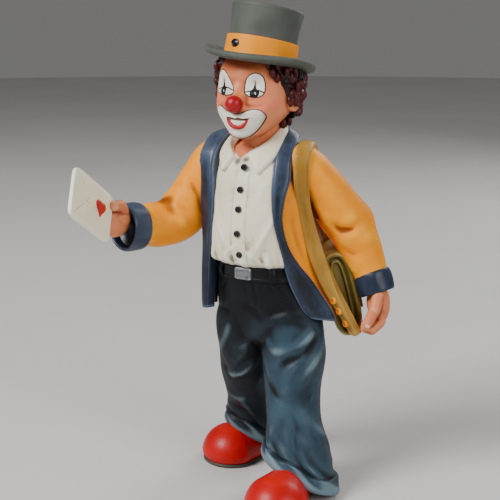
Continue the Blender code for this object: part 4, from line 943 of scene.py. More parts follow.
# %% Creases and painted shade inside the jacket
JACKET_CREASES = [
    ([(-25.5, -11.7, 129.7), (-24.5, -12.7, 125.8), (-22.9, -12.8, 120.9), (-22, -11.9, 116.4),
      (-22.3, -10.1, 111.2)], 1.2, -1),
    ([(-27.9, -11.5, 129.2), (-26, -13, 125.7), (-23.7, -13.3, 121.5)], 0.9, -0.6),
    ([(-38.5, -21.6, 118.6), (-36.9, -15.6, 120), (-30.7, -16.4, 120.1), (-28.6, -14.8, 122.6)], 1.6,
     -0.45),
    ([(-31, -15, 123), (-30.5, -16.7, 119.5), (-29, -18.4, 116.8)], 1.3, 0.7),
    ([(-30.7, -22.1, 113.4), (-26.9, -18.3, 111.2), (-25.3, -15.7, 109.6)], 1.3, 0.8),
    ([(-32.6, -31.9, 111.8), (-31.7, -29, 109.2)], 0.9, -0.6),
    ([(-32.9, -32.2, 107.7), (-31.8, -23.5, 104.9), (-28.1, -17.7, 106.2), (-24.8, -14.2, 109.4)], 1.3, -0.6),
    ([(31, 2.2, 113.5), (33.7, 3.5, 110.6), (37.7, 4.6, 110.5), (40.7, 6.3, 112.3)], 1.1, -1.5),
    ([(34.1, 2.6, 114.8), (38.3, 4.6, 114.8), (40.8, 7.4, 117)], 1.8, 1),
    ([(32.7, 6, 104.5), (38.8, 5.1, 108.2), (42.6, 7.8, 111)], 1.7, 0.9),
    ([(22, -1.6, 122.8), (23.3, 1.9, 117.6), (29.1, 6.4, 107.1)], 1.2, -0.9),
    ([(23.7, -0.9, 139.9), (29.5, -0.6, 129.8), (34.6, 2.6, 122.1), (40.4, 6.8, 116.6)], 2.6, 0.5),
    ([(24.5, -1.4, 127), (29, 1.5, 119.5), (33.5, 3.6, 116)], 1.4, -0.6),
    ([(32.2, 8.5, 100.9), (37.5, 8.7, 94.8), (40.4, 8, 92.9)], 1.4, 0.7),
    ([(33.5, 7, 103), (38, 6.5, 100.5), (43, 8.5, 101)], 1.1, -0.7),
    ([(21.8, -11.8, 123.2), (23.1, -10.4, 111.4), (25.7, -7.5, 100.4), (27.5, -4.3, 91.6)], 1.2, -0.5),
    ([(-22, 14, 132), (-14, 17, 126), (-4, 17, 122)], 2.2, 0.5),
    ([(22, 14, 132), (12, 17, 127), (3, 17, 124)], 2.2, 0.5),
    ([(-20, 12, 108), (-12, 16.5, 104), (-2, 17, 106)], 2.4, -0.35),
    ([(0, 15.6, 140), (0.2, 17, 124), (0.4, 17, 106), (0.6, 18, 90), (0.8, 21, 77)],
     0.45, -0.5),
    ([(-40, -8, 106), (-36, -4, 104), (-30, 0, 106)], 1.5, 0.7),
    ([(-41, -14, 116), (-38, -8, 119), (-33, -2, 123)], 1.6, -0.7),
    ([(-26, 6, 128), (-30, 3, 121), (-34, 0, 114)], 1.7, 0.7),
    ([(34, 22, 116), (40, 22, 111), (45, 18, 108)], 1.6, -0.8),
    ([(32, 21, 121), (38, 22, 117), (43, 18, 114)], 1.8, 0.8)]
crease(jacket, JACKET_CREASES, 1.4, 0.72)
points, _ = shares_of(jacket)
table = smooth(JACKET, 300)[::-1]
mid_x, front, back, half = (np.interp(points[:, 2], table[:, 0], table[:, k]) for k in (1, 2, 3, 4))
# painted shade on the inner side of the open fronts, below a height
INSIDE_SHADE_SHARE, INSIDE_SHADE_TOP = 0.955, 120
reach = np.hypot((points[:, 0] - mid_x) / half, (points[:, 1] - (front + back) / 2) / ((back - front) / 2))
mark(jacket, "inside_shade", np.where(points[:, 2] < INSIDE_SHADE_TOP, (INSIDE_SHADE_SHARE - reach) * 20, -1.0))
piece("jacket", jacket, orange_paint, 90)

# %% [markdown]
# ## Bands, cuffs and collar
# The slate band that edges the jacket is one strip, up one front, round the neck and down the other. The
# shirt collar lies inside it and turns down into two points. Both are carried along two edge lines with a low
# crown on top; the slate band also has a fine groove beside each edge, as a sewn band has.

# %% Lapel band and collar
LAPEL_LEFT = (
    [(0, 9.8, 150.8), (5.4, 8.4, 150.6), (8.4, 4.2, 149.2), (9.6, -2, 145.6), (10.9, -9, 138.8),
     (12, -12.9, 131), (12.5, -14.2, 123), (13.8, -14.6, 114), (16.4, -12.9, 102),
     (18.7, -10.4, 90), (22.6, -6.6, 78.6), (25.6, -4.2, 74.6)],
    [(0, 13.8, 145.2), (8, 12, 145.4), (13, 7.4, 146), (16, 0.4, 144), (16.9, -6.8, 138.2),
     (17.6, -9.4, 131), (16.8, -12.2, 123), (16.8, -13.4, 114), (19.6, -10.8, 102),
     (25.6, -4.4, 90), (31.6, 0.4, 78), (32.6, 2.6, 73)],
    [2.4, 2.6, 3, 4, 4.4, 4, 3.6, 3.2, 3, 2.6, 2, 1.8])
LAPEL_RIGHT = (
    [(0, 9.8, 150.8), (-5.6, 8.4, 150.6), (-10, 5, 149.4), (-13.4, -0.4, 146.4), (-14.9, -6.8, 140.4),
     (-14.6, -11.2, 132.6), (-14, -13.4, 124.4), (-14.2, -14.7, 114.8), (-16.2, -13.2, 102),
     (-17.2, -12.8, 90), (-17.6, -13, 80), (-17.8, -12.9, 75)],
    [(0, 13.8, 145.2), (-8.2, 12, 145.2), (-16, 8, 145), (-21.9, 0.4, 144.8), (-22.5, -6.5, 139.4),
     (-22.6, -8.6, 132), (-21.6, -10.4, 123.8), (-20.8, -11.4, 114.2), (-21.2, -10.4, 102),
     (-21.6, -10.6, 90), (-21.4, -11, 80), (-21.2, -11, 74.6)],
    [2.4, 2.6, 3, 4, 4.4, 4, 3.6, 3.2, 3, 2.6, 2.2, 2])
COLLAR_LEFT = (
    [(0, 8.4, 152.2), (5.8, 6.2, 152), (8.2, 0.8, 150.2), (6.4, -5.6, 146), (0.6, -11.8, 140.6)],
    [(0, 10.6, 147.6), (8.2, 8, 147.4), (11.6, 0.8, 145.6), (11.4, -8.6, 140), (6.8, -14.8, 133.6)],
    [2.6, 2.8, 3.2, 3.6, 2.6])
COLLAR_RIGHT = (
    [(0, 8.4, 152.2), (-5.8, 6.2, 152), (-9, 0.8, 150), (-10.6, -5.8, 145), (-6.2, -11.6, 139.3)],
    [(0, 10.6, 147.6), (-8.6, 8, 147.2), (-12.6, 0.8, 145.2), (-14, -8.6, 139.4), (-9.8, -14.4, 133.4)],
    [2.6, 2.8, 3.2, 3.6, 2.6])


def both_sides(left, right):
    """Two half bands as one, from the left end over the neck to the right end: the outer edge, the inner edge
    and the thickness."""
    return [left[k][::-1] + right[k][1:] for k in (1, 0, 2)]


outer_edge, inner_edge, thick = both_sides(LAPEL_LEFT, LAPEL_RIGHT)
spread = np.array(outer_edge) - np.array(inner_edge)
outer_edge = np.array(outer_edge) + 0.12 * spread
stand = np.interp(np.linspace(0, 1, 520), (0.0, 0.3, 0.42, 0.5, 0.58, 0.64, 0.69, 0.75, 0.82, 1.0),
                  (0.9, 1.0, 1.3, 0.6, 1.3, 2.4, 3.0, 1.8, 1.0, 0.9))
lapels = ribbon(outer_edge, inner_edge, np.array(thick) + 2.2, 520, 96, 0.3, 0.3, 0.84, stand)
bands = solid("lapels", [lapels])
points, _ = shares_of(bands)
edge = smooth(outer_edge, 400)
low = edge[(edge[:, 0] > 0) & (edge[:, 2] < 103)]
near = points[:, 2] < 106
piping = np.full(len(points), -1.0)
piping[near] = (0.42 - near_path(points[near], low[::12])[0]) * 4
mark(bands, "piping", piping)
# the upper band is painted lighter slate, a painted highlight
mark(bands, "paler_paint_and_highlight", 0.9 * soft_step(points[:, 2], 108, 132))
piece("lapels", bands, lapel_paint, 40)
collar = ribbon(*both_sides(COLLAR_LEFT, COLLAR_RIGHT), 260, 80, 0.45, 0.0, 0.86, np.full(260, 0.7))
piece("collar", [collar], shirt_paint, 40)

# %% [markdown]
# The cuffs are turned back: each is a tube whose line runs out over the wrist and then back inside the
# mouth, so all its rings lie in one common plane. Low folds keep the rim from being a perfect circle.

# %% Cuffs
RIGHT_CUFF = [
    (-41, -28.2, 110.15, 8), (-41.05, -28.4, 110.2, 9.1), (-41.3, -29.2, 110.25, 9.55),
    (-42, -31.2, 110.4, 9.6), (-42.8, -33.6, 110.55, 9.6), (-43.35, -35.5, 110.7, 9.55),
    (-43.6, -36.3, 110.8, 9.3), (-43.6, -36.35, 110.8, 8.7), (-43.4, -35.7, 110.75, 8.25),
    (-42.6, -33.2, 110.5, 7.9)]
LEFT_CUFF = [
    (43.3, 14.8, 92.3, 6), (43.35, 14.8, 92.2, 6.8), (43.6, 14.78, 91.5, 7.15), (44.3, 14.65, 89.8, 7.3),
    (45.3, 14.45, 87, 7.35), (46.2, 14.25, 84.8, 7.25), (46.5, 14.15, 84.05, 7), (46.5, 14.15, 84, 6.5),
    (46.3, 14.2, 84.6, 6.1), (45.6, 14.35, 86.4, 5.9)]
CUFF_FOLDS = [(70, 0.4, 60, 16, 0.22, 0.45), (200, 0.45, -50, 18, 0.22, 0.4), (310, 0.4, 40, 16, 0.25, 0.4),
              (20, 0.3, -30, 14, 0.2, 0.35), (150, 0.35, 30, 14, 0.2, 0.35), (250, 0.35, -40, 13, 0.2, 0.35)]
cuffs = [tube(RIGHT_CUFF, 140, 200, (0, 0, 1), CUFF_FOLDS, True),
         tube(LEFT_CUFF, 140, 170, (0, 1, 0), CUFF_FOLDS, True)]
cuffs = solid("cuffs", cuffs)
# the right cuff, on the key light's side, is painted lighter slate, a painted highlight
mark(cuffs, "paler_paint_and_highlight", 0.7 * (shares_of(cuffs)[0][:, 0] < 0))
piece("cuffs", cuffs, lapel_paint, 40)

# %% [markdown]
# ## Hands
# Each hand is a palm with four fingers and a thumb, laid out in the wrist's own directions: across, toward
# the back of the hand, and along it. The rods and balls are fused at a fine voxel, so the web between the
# fingers closes softly; small nails are set on afterwards.

# %% Hands
FINGERS = ((-3.9, -0.8), (-1.3, 0.2), (1.3, 0.2), (3.8, -0.9))
HOLDING = ((0.9, 0.3, 6.4), (1, -0.2, 10.2), (0.95, -1.8, 13.2), (0.9, -3, 16.2))
FIST = ((0.9, 0.3, 6.4), (1, 0.7, 10.2), (1, -2, 13), (0.95, -4.8, 12.4))


def rod(start, end, first, last, around=28):
    """A rod with round ends: radius times cosine and reach times sine over each quarter turn."""
    start, end = np.array(start, float), np.array(end, float)
    axis = unit(end - start)
    side, other = square_to(axis)
    t = np.linspace(-math.pi / 2, 0, 8)[1:]
    mids = np.concatenate([start + axis * first * np.sin(t)[:, None],
                           end + axis * last * -np.sin(t[::-1])[:, None]])
    reach = np.concatenate([first * np.cos(t), last * np.cos(t[::-1])])
    a = turns(around)[None, :, None]
    return closed(mids[:, None] + (side * np.cos(a) + other * np.sin(a)) * reach[:, None, None])


def hand(wrist, along, back_of_hand, curl, thumb, grow):
    """The rods and balls of a hand, and the places and directions of its nails."""
    along = unit(along)
    across = unit(np.cross(back_of_hand, along))
    axes = np.array([across, np.cross(along, across), along]) * grow
    wrist = np.array(wrist, float)
    shapes = [moved(lump, lambda points: points @ axes + wrist)
              for lump in (ball((0, 0, 4.2), (5.5, 3.9, 6.8), 40, 60),
                           ball((1.6, -1.6, 3.2), (3.2, 2.6, 4.4), 30, 40))]
    tips = []
    for side, reach in FINGERS:
        places = [np.array([side * spread, lift, ahead + reach * (part > 0)]) @ axes + wrist
                  for part, (spread, lift, ahead) in enumerate(curl)]
        shapes += [rod(places[k], places[k + 1], (1.72 - 0.1 * k) * grow, (1.62 - 0.1 * k) * grow)
                   for k in range(3)]
        tips.append((places[2], places[3], 1.42 * grow, axes[1]))
    places = [np.array(step) @ axes + wrist for step in thumb]
    shapes += [rod(places[k], places[k + 1], (2.15 - 0.2 * k) * grow, (2.0 - 0.2 * k) * grow)
               for k in range(len(places) - 1)]
    tips.append((places[-2], places[-1], 1.8 * grow, axes[0] * np.sign(thumb[1][0]) * 0.8 + axes[1] * 0.2))
    return shapes, tips


def nails_of(tips):
    """Small pressed balls on the back of each finger end, square to the finger."""
    made = []
    for before, end, reach, back in tips:
        along = unit(end - before)
        out = unit(back - along * (back @ along))
        axes = np.array([np.cross(along, out), out, along])
        made.append(ball(end + out * reach * 0.74 + along * 0.5, (1.05, 0.55, 1.25), 14, 24, axes))
    return made


right_shapes, right_tips = hand((-43.6, -36.6, 112.4), (-0.10, -0.92, 0.34), (-0.97, 0.18, 0.1), HOLDING,
                                ((3.6, -1.0, 2.0), (5.8, -3.0, 6.6), (5.0, -4.0, 10.6)), 1.18)
left_shapes, left_tips = hand((47.4, 14.2, 84.0), (0.05, -0.18, -0.98), (0.86, 0.5, 0.1), FIST,
                              ((-3.8, -0.8, 0.8), (-6.0, -2.0, 5.6), (-4.8, -4.0, 10.2)), 1.18)
for name, shapes in (("right_hand", right_shapes), ("left_hand", left_shapes)):
    piece(name, fused(name, shapes, 0.34, 5), skin_paint, 30)
piece("nails", nails_of(right_tips) + nails_of(left_tips), nail_paint)

# %% [markdown]
# ## The letter
# A plain envelope, a slab with softly rounded corners. Its flap is a low triangle whose point lies under a
# heart-shaped seal.

# %% Letter and seal
LETTER_SIZE = (30.6, 20.0, 1.7)
LETTER_MIDDLE = (-38.4, -62.4, 124.5)
LONG = unit((0.09, -0.836, 0.542))
DOWN = unit((0.233, -0.512, -0.826))
letter_axes = np.array([LONG, DOWN, -np.cross(DOWN, LONG)])

back_rows = [(inset, -0.85) for inset in np.linspace(9.6, 0.6, 36)]
rim_rows = [(0.24, -0.78), (0.06, -0.6), (0.0, -0.35), (0.0, 0.35), (0.06, 0.6), (0.24, 0.78)]
front_rows = [(inset, 0.85) for inset in np.linspace(0.6, 9.6, 60)]
points, quads, tris = plate(LETTER_SIZE, back_rows + rim_rows + front_rows, 360, 9.0, np.eye(3), (0, 0, 0))


def flap_relief(l, d):
    """A triangle from the far edge to the seal raised by 0.2, with a groove along its two slanting sides."""
    off = (12.6 + (l - 15.3) * 15.2 / 18.3) - np.abs(d + 2.6 - (l + 3.0) * 0.14)
    return 0.22 * soft_step(off, 2.4, 2.9) - 0.3 * np.exp(-((off - 2.45) / 0.22) ** 2)


front = points[:, 2] > 0.8
inner = soft_step(8.9 - np.abs(points[:, 1]), 0, 1) * soft_step(14.2 - np.abs(points[:, 0]), 0, 1)
points[:, 2] += front * inner * flap_relief(points[:, 0], points[:, 1])
letter = (points @ letter_axes + LETTER_MIDDLE, quads, tris)
piece("letter", [letter], letter_paint, 60)

HEART_SIZE, HEART_PLACE = 7.0, (-5.6, -1.3)
a = np.linspace(0, 2 * math.pi, 160, endpoint=False)
across = 16 * np.sin(a) ** 3
down = -(13 * np.cos(a) - 5 * np.cos(2 * a) - 2 * np.cos(3 * a) - np.cos(4 * a))
rows = smooth([(1.0, 0.3), (1.02, 0.8), (1.0, 1.2), (0.9, 1.55), (0.7, 1.82), (0.4, 1.95), (0.05, 2.0)], 40)
heart = np.stack([HEART_PLACE[0] + across * rows[:, :1] * HEART_SIZE / 32,
                  HEART_PLACE[1] + down * rows[:, :1] * HEART_SIZE / 32, 0 * a + rows[:, 1:]], axis=-1)
piece("seal", [closed(heart @ letter_axes + LETTER_MIDDLE)], heart_paint)

# %% [markdown]
# ## The shoulder bag
# A soft leather satchel, broad and flat, seen mostly from its end. Its skin is a rounded oblong carried along
# the bag; at each end it is drawn in over a rim, a groove and a second rim. A flap lies over the outside.

# %% Bag
BAG_SIZE = (12.6, 38.0, 36.0)
BAG_MIDDLE = (24.4, 24.6, 82.6)
THICK_AXIS = unit((0.84, 0.485, 0.243))
LENGTH_AXIS = unit((-0.5, 0.866, 0.0))
bag_axes = np.array([THICK_AXIS, unit(np.cross(THICK_AXIS, LENGTH_AXIS)), LENGTH_AXIS])
BAG_END = [(0.455, 5.9), (0.455, 5.2), (0.458, 4.5), (0.482, 4.2), (0.486, 3.8), (0.482, 3.4), (0.458, 3.1),
           (0.456, 2.6), (0.47, 2.1), (0.495, 1.8), (0.502, 1.3), (0.502, 0.8), (0.49, 0.3), (0.465, 0.05)]
bag_line = outline(BAG_SIZE[0], BAG_SIZE[2], 3.0, 212)
end_rows = smooth(BAG_END, 96)
middle_rows = np.stack([np.linspace(0.44, -0.44, 60), np.zeros(60)], axis=-1)
bag_rows = np.vstack([end_rows, middle_rows, end_rows[::-1] * (-1, 1)])
share, inset = bag_rows.T[:, :, None]
turn_at = np.arctan2(bag_line[:, 0] * 2.8, -bag_line[:, 1])[None, :]
sag = (0.35 * np.sin(9 * share + 2 * turn_at) + 0.25 * np.sin(17 * share - 3 * turn_at)) * (inset < 0.05)
ring = bag_line[None] * (1 - inset[..., None] / np.array([6.3, 18.0]))
ring = ring * (1 + sag[..., None] / np.array([9.0, 18.0]))


def bag_skin(ring, share):
    """Rings of the bag's section, each set at its share of the bag's length, as a skin in its place."""
    along = (share * BAG_SIZE[1] + 0 * ring[..., 0])[..., None]
    rings = np.concatenate([ring, along], axis=-1) @ bag_axes
    return moved(closed(rings), lambda points: points + BAG_MIDDLE)


flap_rows = smooth([(-0.445, -1.4), (-0.447, -0.4), (-0.44, 0.0), (-0.43, 0.08), (-0.2, 0.05), (0.2, 0.05),
                    (0.43, 0.08), (0.44, 0.0), (0.447, -0.4), (0.445, -1.4)], 160)
cover = soft_step(bag_line[:, 0], -4.6, -3.6) * soft_step(bag_line[:, 1], -8.0, -7.0)
grow = -1.4 + 2.3 * cover[None, :] + flap_rows[:, 1:] * cover[None, :]
seam = -0.3 * np.exp(-((np.abs(flap_rows[:, :1]) - 0.405) / 0.006) ** 2) * cover[None, :]
step = unit(bag_line * np.array([3.0, 1.0]))
flap = bag_line[None] + (grow + seam)[..., None] * step[None]
bag_skins = [bag_skin(ring, share), bag_skin(flap, flap_rows[:, :1])]
piece("bag", bag_skins, bag_paint, 60)

# %% [markdown]
# ## The strap
# One broad strap comes over the left shoulder and carries the bag. Three rivets hold it to the bag's end.

# %% Strap and rivets
STRAP_LINE = [
    (39.8, 6.4, 66.9), (35.9, 2.2, 77.4), (31.9, -0.6, 86.7), (28.6, -2.8, 96.9), (25, -3.8, 108),
    (21.9, -4.9, 120.7), (21.8, -6.8, 134.4), (21.5, -4.8, 141.3), (19.6, 2.7, 144.9), (18, 10, 141.8),
    (17.4, 14.4, 132), (17, 17.6, 119), (16.6, 22, 107), (16.6, 30, 98), (16.6, 38, 92)]
STRAP_OUT = [
    (-0.55, -0.83, 0), (-0.5, -0.86, 0.05), (-0.2, -0.97, 0.1), (0.25, -0.95, 0.1), (0.4, -0.9, 0.05),
    (0.5, -0.86, 0.1), (0.5, -0.84, 0.2), (0.42, -0.7, 0.58), (0.15, -0.05, 1), (0.2, 0.6, 0.78),
    (0.3, 0.92, 0.25), (0.3, 0.92, 0.25), (0.3, 0.8, 0.5), (0.3, 0.75, 0.6), (0.3, 0.75, 0.6)]
STRAP_WIDTH, STRAP_THICK = 6.0, 1.5
middle, out = smooth(STRAP_LINE, 29), unit(smooth(STRAP_OUT, 29))
side = unit(np.cross(np.gradient(middle, axis=0), out)) * STRAP_WIDTH / 2
top = middle + out * 0.6
strap = ribbon(top + side, top - side, (STRAP_THICK + 2.0,) * 2, 420, 72, 0.12, 0.2, 0.84)
piece("strap", [strap], strap_paint)

RIVET_PROFILE = smooth([(1.5, -1.0), (1.5, 0.1), (1.42, 0.55), (1.15, 0.85), (0.8, 0.86), (0.5, 0.66),
                        (0.06, 0.55)], 36)
RIVET_STEPS = (14, 29, 43)
fine_line, fine_out = smooth(STRAP_LINE, 400), unit(smooth(STRAP_OUT, 400))
rivets = [lathe(RIVET_PROFILE, fine_line[k] + fine_out[k] * 0.7, fine_out[k], 40) for k in RIVET_STEPS]
piece("rivets", rivets, rivet_paint)

# %% [markdown]
# ## The head
# The head is a stack of level ovals with the soft forms of a face laid over them. The drawn forms of the
# make-up are closed or open lines on the front of the face. The distance from each point to such a line both
# raises the form a little, as the muzzle is, and tells the paint where it ends.

# %% Distances to drawn lines
def closed_line(places, steps=8):
    """A smooth loop through places: the cubic of the places with their neighbours repeated at both ends."""
    rows = [*places[-2:], *places, *places[:3]]
    return smooth(rows, (len(rows) - 1) * steps + 1)[2 * steps:(len(places) + 2) * steps]


def line_gap(x, z, line):
    """Least distance from points to the straight pieces of a line."""
    gap = np.full(x.shape, 99.0)
    for a, b in zip(line[:-1], line[1:]):
        step = b - a
        t = np.clip(((x - a[0]) * step[0] + (z - a[1]) * step[1]) / (step @ step + 1e-12), 0, 1)
        gap = np.minimum(gap, np.hypot(x - a[0] - t * step[0], z - a[1] - t * step[1]))
    return gap


def inside(x, z, places, even=True):
    """Distance to a closed outline, above 0 inside it: a point is inside where a ray crosses it oddly."""
    line = closed_line(places) if even else np.array(places, float)
    line = np.vstack([line, line[:1]])
    odd = np.zeros(x.shape, bool)
    for a, b in zip(line[:-1], line[1:]):
        rise = b[1] - a[1] if b[1] != a[1] else 1e-9
        odd ^= ((a[1] > z) != (b[1] > z)) & (x < a[0] + (z - a[1]) * (b[0] - a[0]) / rise)
    gap = line_gap(x, z, line)
    return np.where(odd, gap, -gap)


def pen(x, z, places, wide):
    """A pen line: half its width less the distance to it, above 0 on the line."""
    return wide - line_gap(x, z, smooth(places, 8 * len(places)))


print("distances to drawn lines ready")

# %% [markdown]
# The make-up is drawn as places (x, z) on the front of the head, in the manner that clowns have long used.
# Patches, muzzle and lips are loops, lashes and the upper lip are pen lines, and each eye is a round iris cut
# off by the lash, with a small glint.

# %% Lines of the face
LEFT_PATCH = [(2.9, 165.4), (2.9, 169.2), (4, 171.4), (6.4, 172.6), (8.8, 171.5), (9.8, 169),
              (10.1, 166.4), (9.7, 164.6), (8.6, 163.7), (7, 163.3), (5.1, 163.6), (3.6, 164.4)]
RIGHT_PATCH = [(-1.3, 165.2), (-1.8, 167.2), (-4.3, 169.7), (-6.4, 172), (-9.4, 173.4), (-11.9, 172.2),
               (-12.9, 169), (-12.8, 166), (-11.5, 164.6), (-9.4, 164), (-6.8, 163.7), (-3, 164.1)]
LEFT_LASH = [(3.2, 165.3), (5.2, 165.8), (6.7, 166.1), (8.2, 165.9), (9.8, 165.2)]
RIGHT_LASH = [(-11.6, 165.7), (-9.4, 166.3), (-7, 166.7), (-4.4, 166.5), (-1.5, 165.9)]
LEFT_SPIKE = [(5, 165.8), (5.7, 166.7), (6, 168.1), (6.2, 170.7), (6.5, 168.1), (6.9, 166.7),
              (7.7, 165.8)]
RIGHT_SPIKE = [(-9.7, 166.2), (-8.9, 167.1), (-8.75, 168.7), (-8.6, 171.3), (-8.15, 168.7), (-7.5, 167.2),
               (-6.3, 166.4)]
EYES, IRIS = ((6.5, 164.95), (-7.6, 165.4)), 1.75
MUZZLE = [(4.3, 158.2), (6.8, 158.8), (8.9, 158.6), (10.2, 157.5), (10.4, 155.9), (9.3, 154),
          (7.8, 151.9), (5.7, 149.5), (3.2, 147.7), (0, 147.1), (-3.2, 147.7), (-5.9, 149.6),
          (-8.2, 152.2), (-9.9, 154.6), (-11, 157), (-11, 158.8), (-9.8, 159.6), (-7.4, 158.9),
          (-4.9, 157.6), (0, 156.8)]
LIPS = [(-4.9, 155.2), (-4.5, 153.9), (-3.6, 152.5), (-1.4, 151.1), (0.8, 150.7), (2.9, 151.5), (4.2, 153.3),
        (5, 155.1), (3.9, 154.3), (2.7, 153.1), (1.1, 152.4), (-1, 152.8), (-2.9, 153.9)]
# the mouth's brown, left showing above the teeth, is painted shade under the upper lip
MOUTH = [(-4.6, 155.1), (-2.9, 153.8), (-1, 152.7), (1.1, 152.3), (2.7, 153), (4.6, 154.9), (2.6, 154.8),
         (0.8, 155.1), (-0.6, 154.9), (-2.4, 155.1)]
TEETH = [(-3, 154.3), (-1, 152.9), (1.1, 152.5), (2.7, 153.3), (3.4, 154.2), (1, 154.2), (-1.2, 154.3)]
UPPER_LINE = [(-4.9, 155.2), (-2.6, 155.2), (-0.6, 154.9), (0.7, 155.2), (2.8, 154.9), (5, 155.1)]


def face_marks(x, z):
    """The make-up as named distances, above 0 where each is painted."""
    left, right, muzzle = inside(x, z, LEFT_PATCH), inside(x, z, RIGHT_PATCH), inside(x, z, MUZZLE)
    spikes = np.maximum(inside(x, z, LEFT_SPIKE, False), inside(x, z, RIGHT_SPIKE, False))
    halves = [np.minimum(IRIS - np.hypot(x - ex, z - ez), np.interp(x, *np.array(lash).T) - z)
              for (ex, ez), lash in zip(EYES, (LEFT_LASH, RIGHT_LASH))]
    ink = np.maximum.reduce([0.2 - np.abs(left), 0.19 - np.abs(right), 0.15 - np.abs(muzzle), spikes, *halves,
                             pen(x, z, LEFT_LASH, 0.24), pen(x, z, RIGHT_LASH, 0.24),
                             pen(x, z, UPPER_LINE, 0.2)])
    glints = [0.15 - line_gap(x, z, np.array([(ex + 0.15, ez + 0.3), (ex + 0.5, ez - 0.4)]))
              for ex, ez in EYES]
    # grey-brown painted shade on the white: along the muzzle's outline, in the upper patches round the
    # spikes, and beside the mouth
    painted_grey_shade = np.maximum.reduce([1.0 - np.abs(muzzle) / 1.3] + [
        most - np.hypot((x - mid_x) / wide, (z - mid_z) / high) for mid_x, mid_z, wide, high, most in (
            (6.3, 169.0, 2.6, 3.0, 0.9), (-8.8, 169.5, 2.4, 3.2, 0.9), (5.6, 155.2, 2.6, 1.6, 0.8))])
    return {"white": np.maximum.reduce([left, right, muzzle]), "ink": ink, "lips": inside(x, z, LIPS),
            "mouth": inside(x, z, MOUTH), "teeth": inside(x, z, TEETH), "painted_grey_shade": painted_grey_shade,
            "glint": np.maximum(*glints), "muzzle": muzzle, "patch": np.maximum(left, right)}


print("make-up lines ready")

# %% [markdown]
# The skull is lofted from ten level ovals, with cheeks, brow and chin as broad soft bumps. The points stand
# closer together at the front, where the drawn lines need them.

# %% Form of the head
HEAD = [
    (146.6, -1, -13.6, -5, 3.2), (147.5, -1, -15, -2, 6), (150, -1, -15.8, 2.6, 8.8),
    (153.5, -1, -16.2, 7.4, 11.8), (158, -1, -16.4, 11.8, 14.8), (163, -1, -16.2, 14.4, 16.2),
    (168.5, -1, -15.6, 15.2, 15.9), (174, -1, -14.4, 15, 15), (178.5, -1, -11.6, 13, 12.6),
    (181, -1, -7, 8.6, 7.6)]
FACE_FORMS = [
    (40, 157.5, 0, 20, 4.2, 0.9), (-40, 157.5, 0, 20, 4.2, 0.9), (25, 168, 0, 12, 3.6, -0.9),
    (-25, 168, 0, 12, 3.6, -0.9), (0, 172.5, 0, 40, 2.6, 0.4), (0, 165, 0, 9, 4, 1.4),
    (0, 153, 0, 22, 3, 1.3), (0, 148.6, 0, 16, 1.6, 0.6)]
HEAD_TURN, HEAD_PIVOT = 5.0, (-0.6, 0.0, 163.0)


def head_rings(rows, around, dense):
    """Level ovals of the head plus the soft forms of the face. The angle is t - dense * sin(t), which sets
    the points closer together at the front."""
    z, cx, front, back, half = smooth(HEAD, rows).T[:, :, None]
    t = turns(around)[None, :]
    a = t - dense * np.sin(t)
    lift = fold_lift(a, z, FACE_FORMS)
    x = cx + (half + lift) * bend(np.sin(a), 2.15)
    y = (front + back) / 2 - ((back - front) / 2 + lift) * bend(np.cos(a), 2.15)
    return np.stack([x, y, z + 0 * x], axis=-1), a, z


rings = head_rings(272, 360, 0.6)[0]
print("head rings", rings.shape[0], "with", rings.shape[1], "points each")

# %% [markdown]
# Over that form the muzzle and the patches stand a little proud, the lips are rounded and the mouth is
# pressed in. A row of the grooves is a line, its steps, width and height, and a row of the bumps, such as the
# eyelids, is a place, two half widths and a height. The same distances then go to the paint.

# %% Face
FRONT_FROM, NOWHERE = -4.0, -9.0
x, y, z = rings.reshape(-1, 3).T
front = y < FRONT_FROM
marks = {key: np.where(front, value, NOWHERE) for key, value in face_marks(x, z).items()}
marks["blush"] = 1.15 * np.exp(-((np.abs(x + 0.4) - 10.5) / 4.0) ** 2 - ((z - 160.6) / 3.4) ** 2) * front
# painted shade: the hat brim's shadow on the forehead, beside the nose and under the muzzle
marks["shade"] = (0.9 * np.exp(-((np.abs(x - 0.6) - 3.2) / 0.9) ** 2 - ((z - 162.5) / 3.0) ** 2)
                  + 0.8 * soft_step(z, 169.5, 177.0) + 0.7 * soft_step(-z, -150.0, -147.6)
                  * (marks["muzzle"] < 0))

relief = 0.42 * soft_step(marks["muzzle"], -0.1, 1.0) + 0.14 * soft_step(marks["patch"], -0.05, 0.5)
relief += 0.5 * soft_step(marks["lips"], -0.1, 0.7) - 0.9 * soft_step(marks["mouth"], -0.1, 0.6)
relief += 0.45 * soft_step(marks["teeth"], 0.0, 0.5)
CHEEKS = [[(side * along - 0.6, high) for along, high in ((4.6, 160.4), (7.0, 159.9), (10.2, 160.1))]
          for side in (1, -1)]
GROOVES = [(LEFT_LASH, 40, 0.3, -0.22), (RIGHT_LASH, 40, 0.3, -0.22), (UPPER_LINE, 40, 0.3, -0.3),
           (CHEEKS[0], 24, 0.9, -0.3), (CHEEKS[1], 24, 0.9, -0.3)]
BUMPS = [(6.5, 164.75, 2.9, 1.3, 0.55), (-7.6, 165.2, 2.9, 1.3, 0.55), (2.8, 159.3, 1.3, 1.3, 0.75),
         (-3.8, 159.3, 1.3, 1.3, 0.75), (-0.2, 152.0, 2.2, 1.2, 0.35), (0.0, 150.0, 3.0, 0.7, -0.3),
         (-0.2, 156.4, 0.5, 0.9, -0.25)]
for places, steps, wide, lift in GROOVES:
    relief += front * lift * np.exp(-(line_gap(x, z, smooth(places, steps)) / wide) ** 2)
for mid_x, mid_z, wide, high, lift in BUMPS:
    relief += front * lift * np.exp(-((x - mid_x) / wide) ** 2 - ((z - mid_z) / high) ** 2)
outward = unit(np.stack([x + 1.0, y + 0.6, 0 * z], axis=-1))
shape = closed((rings.reshape(-1, 3) + outward * relief[:, None]).reshape(rings.shape))


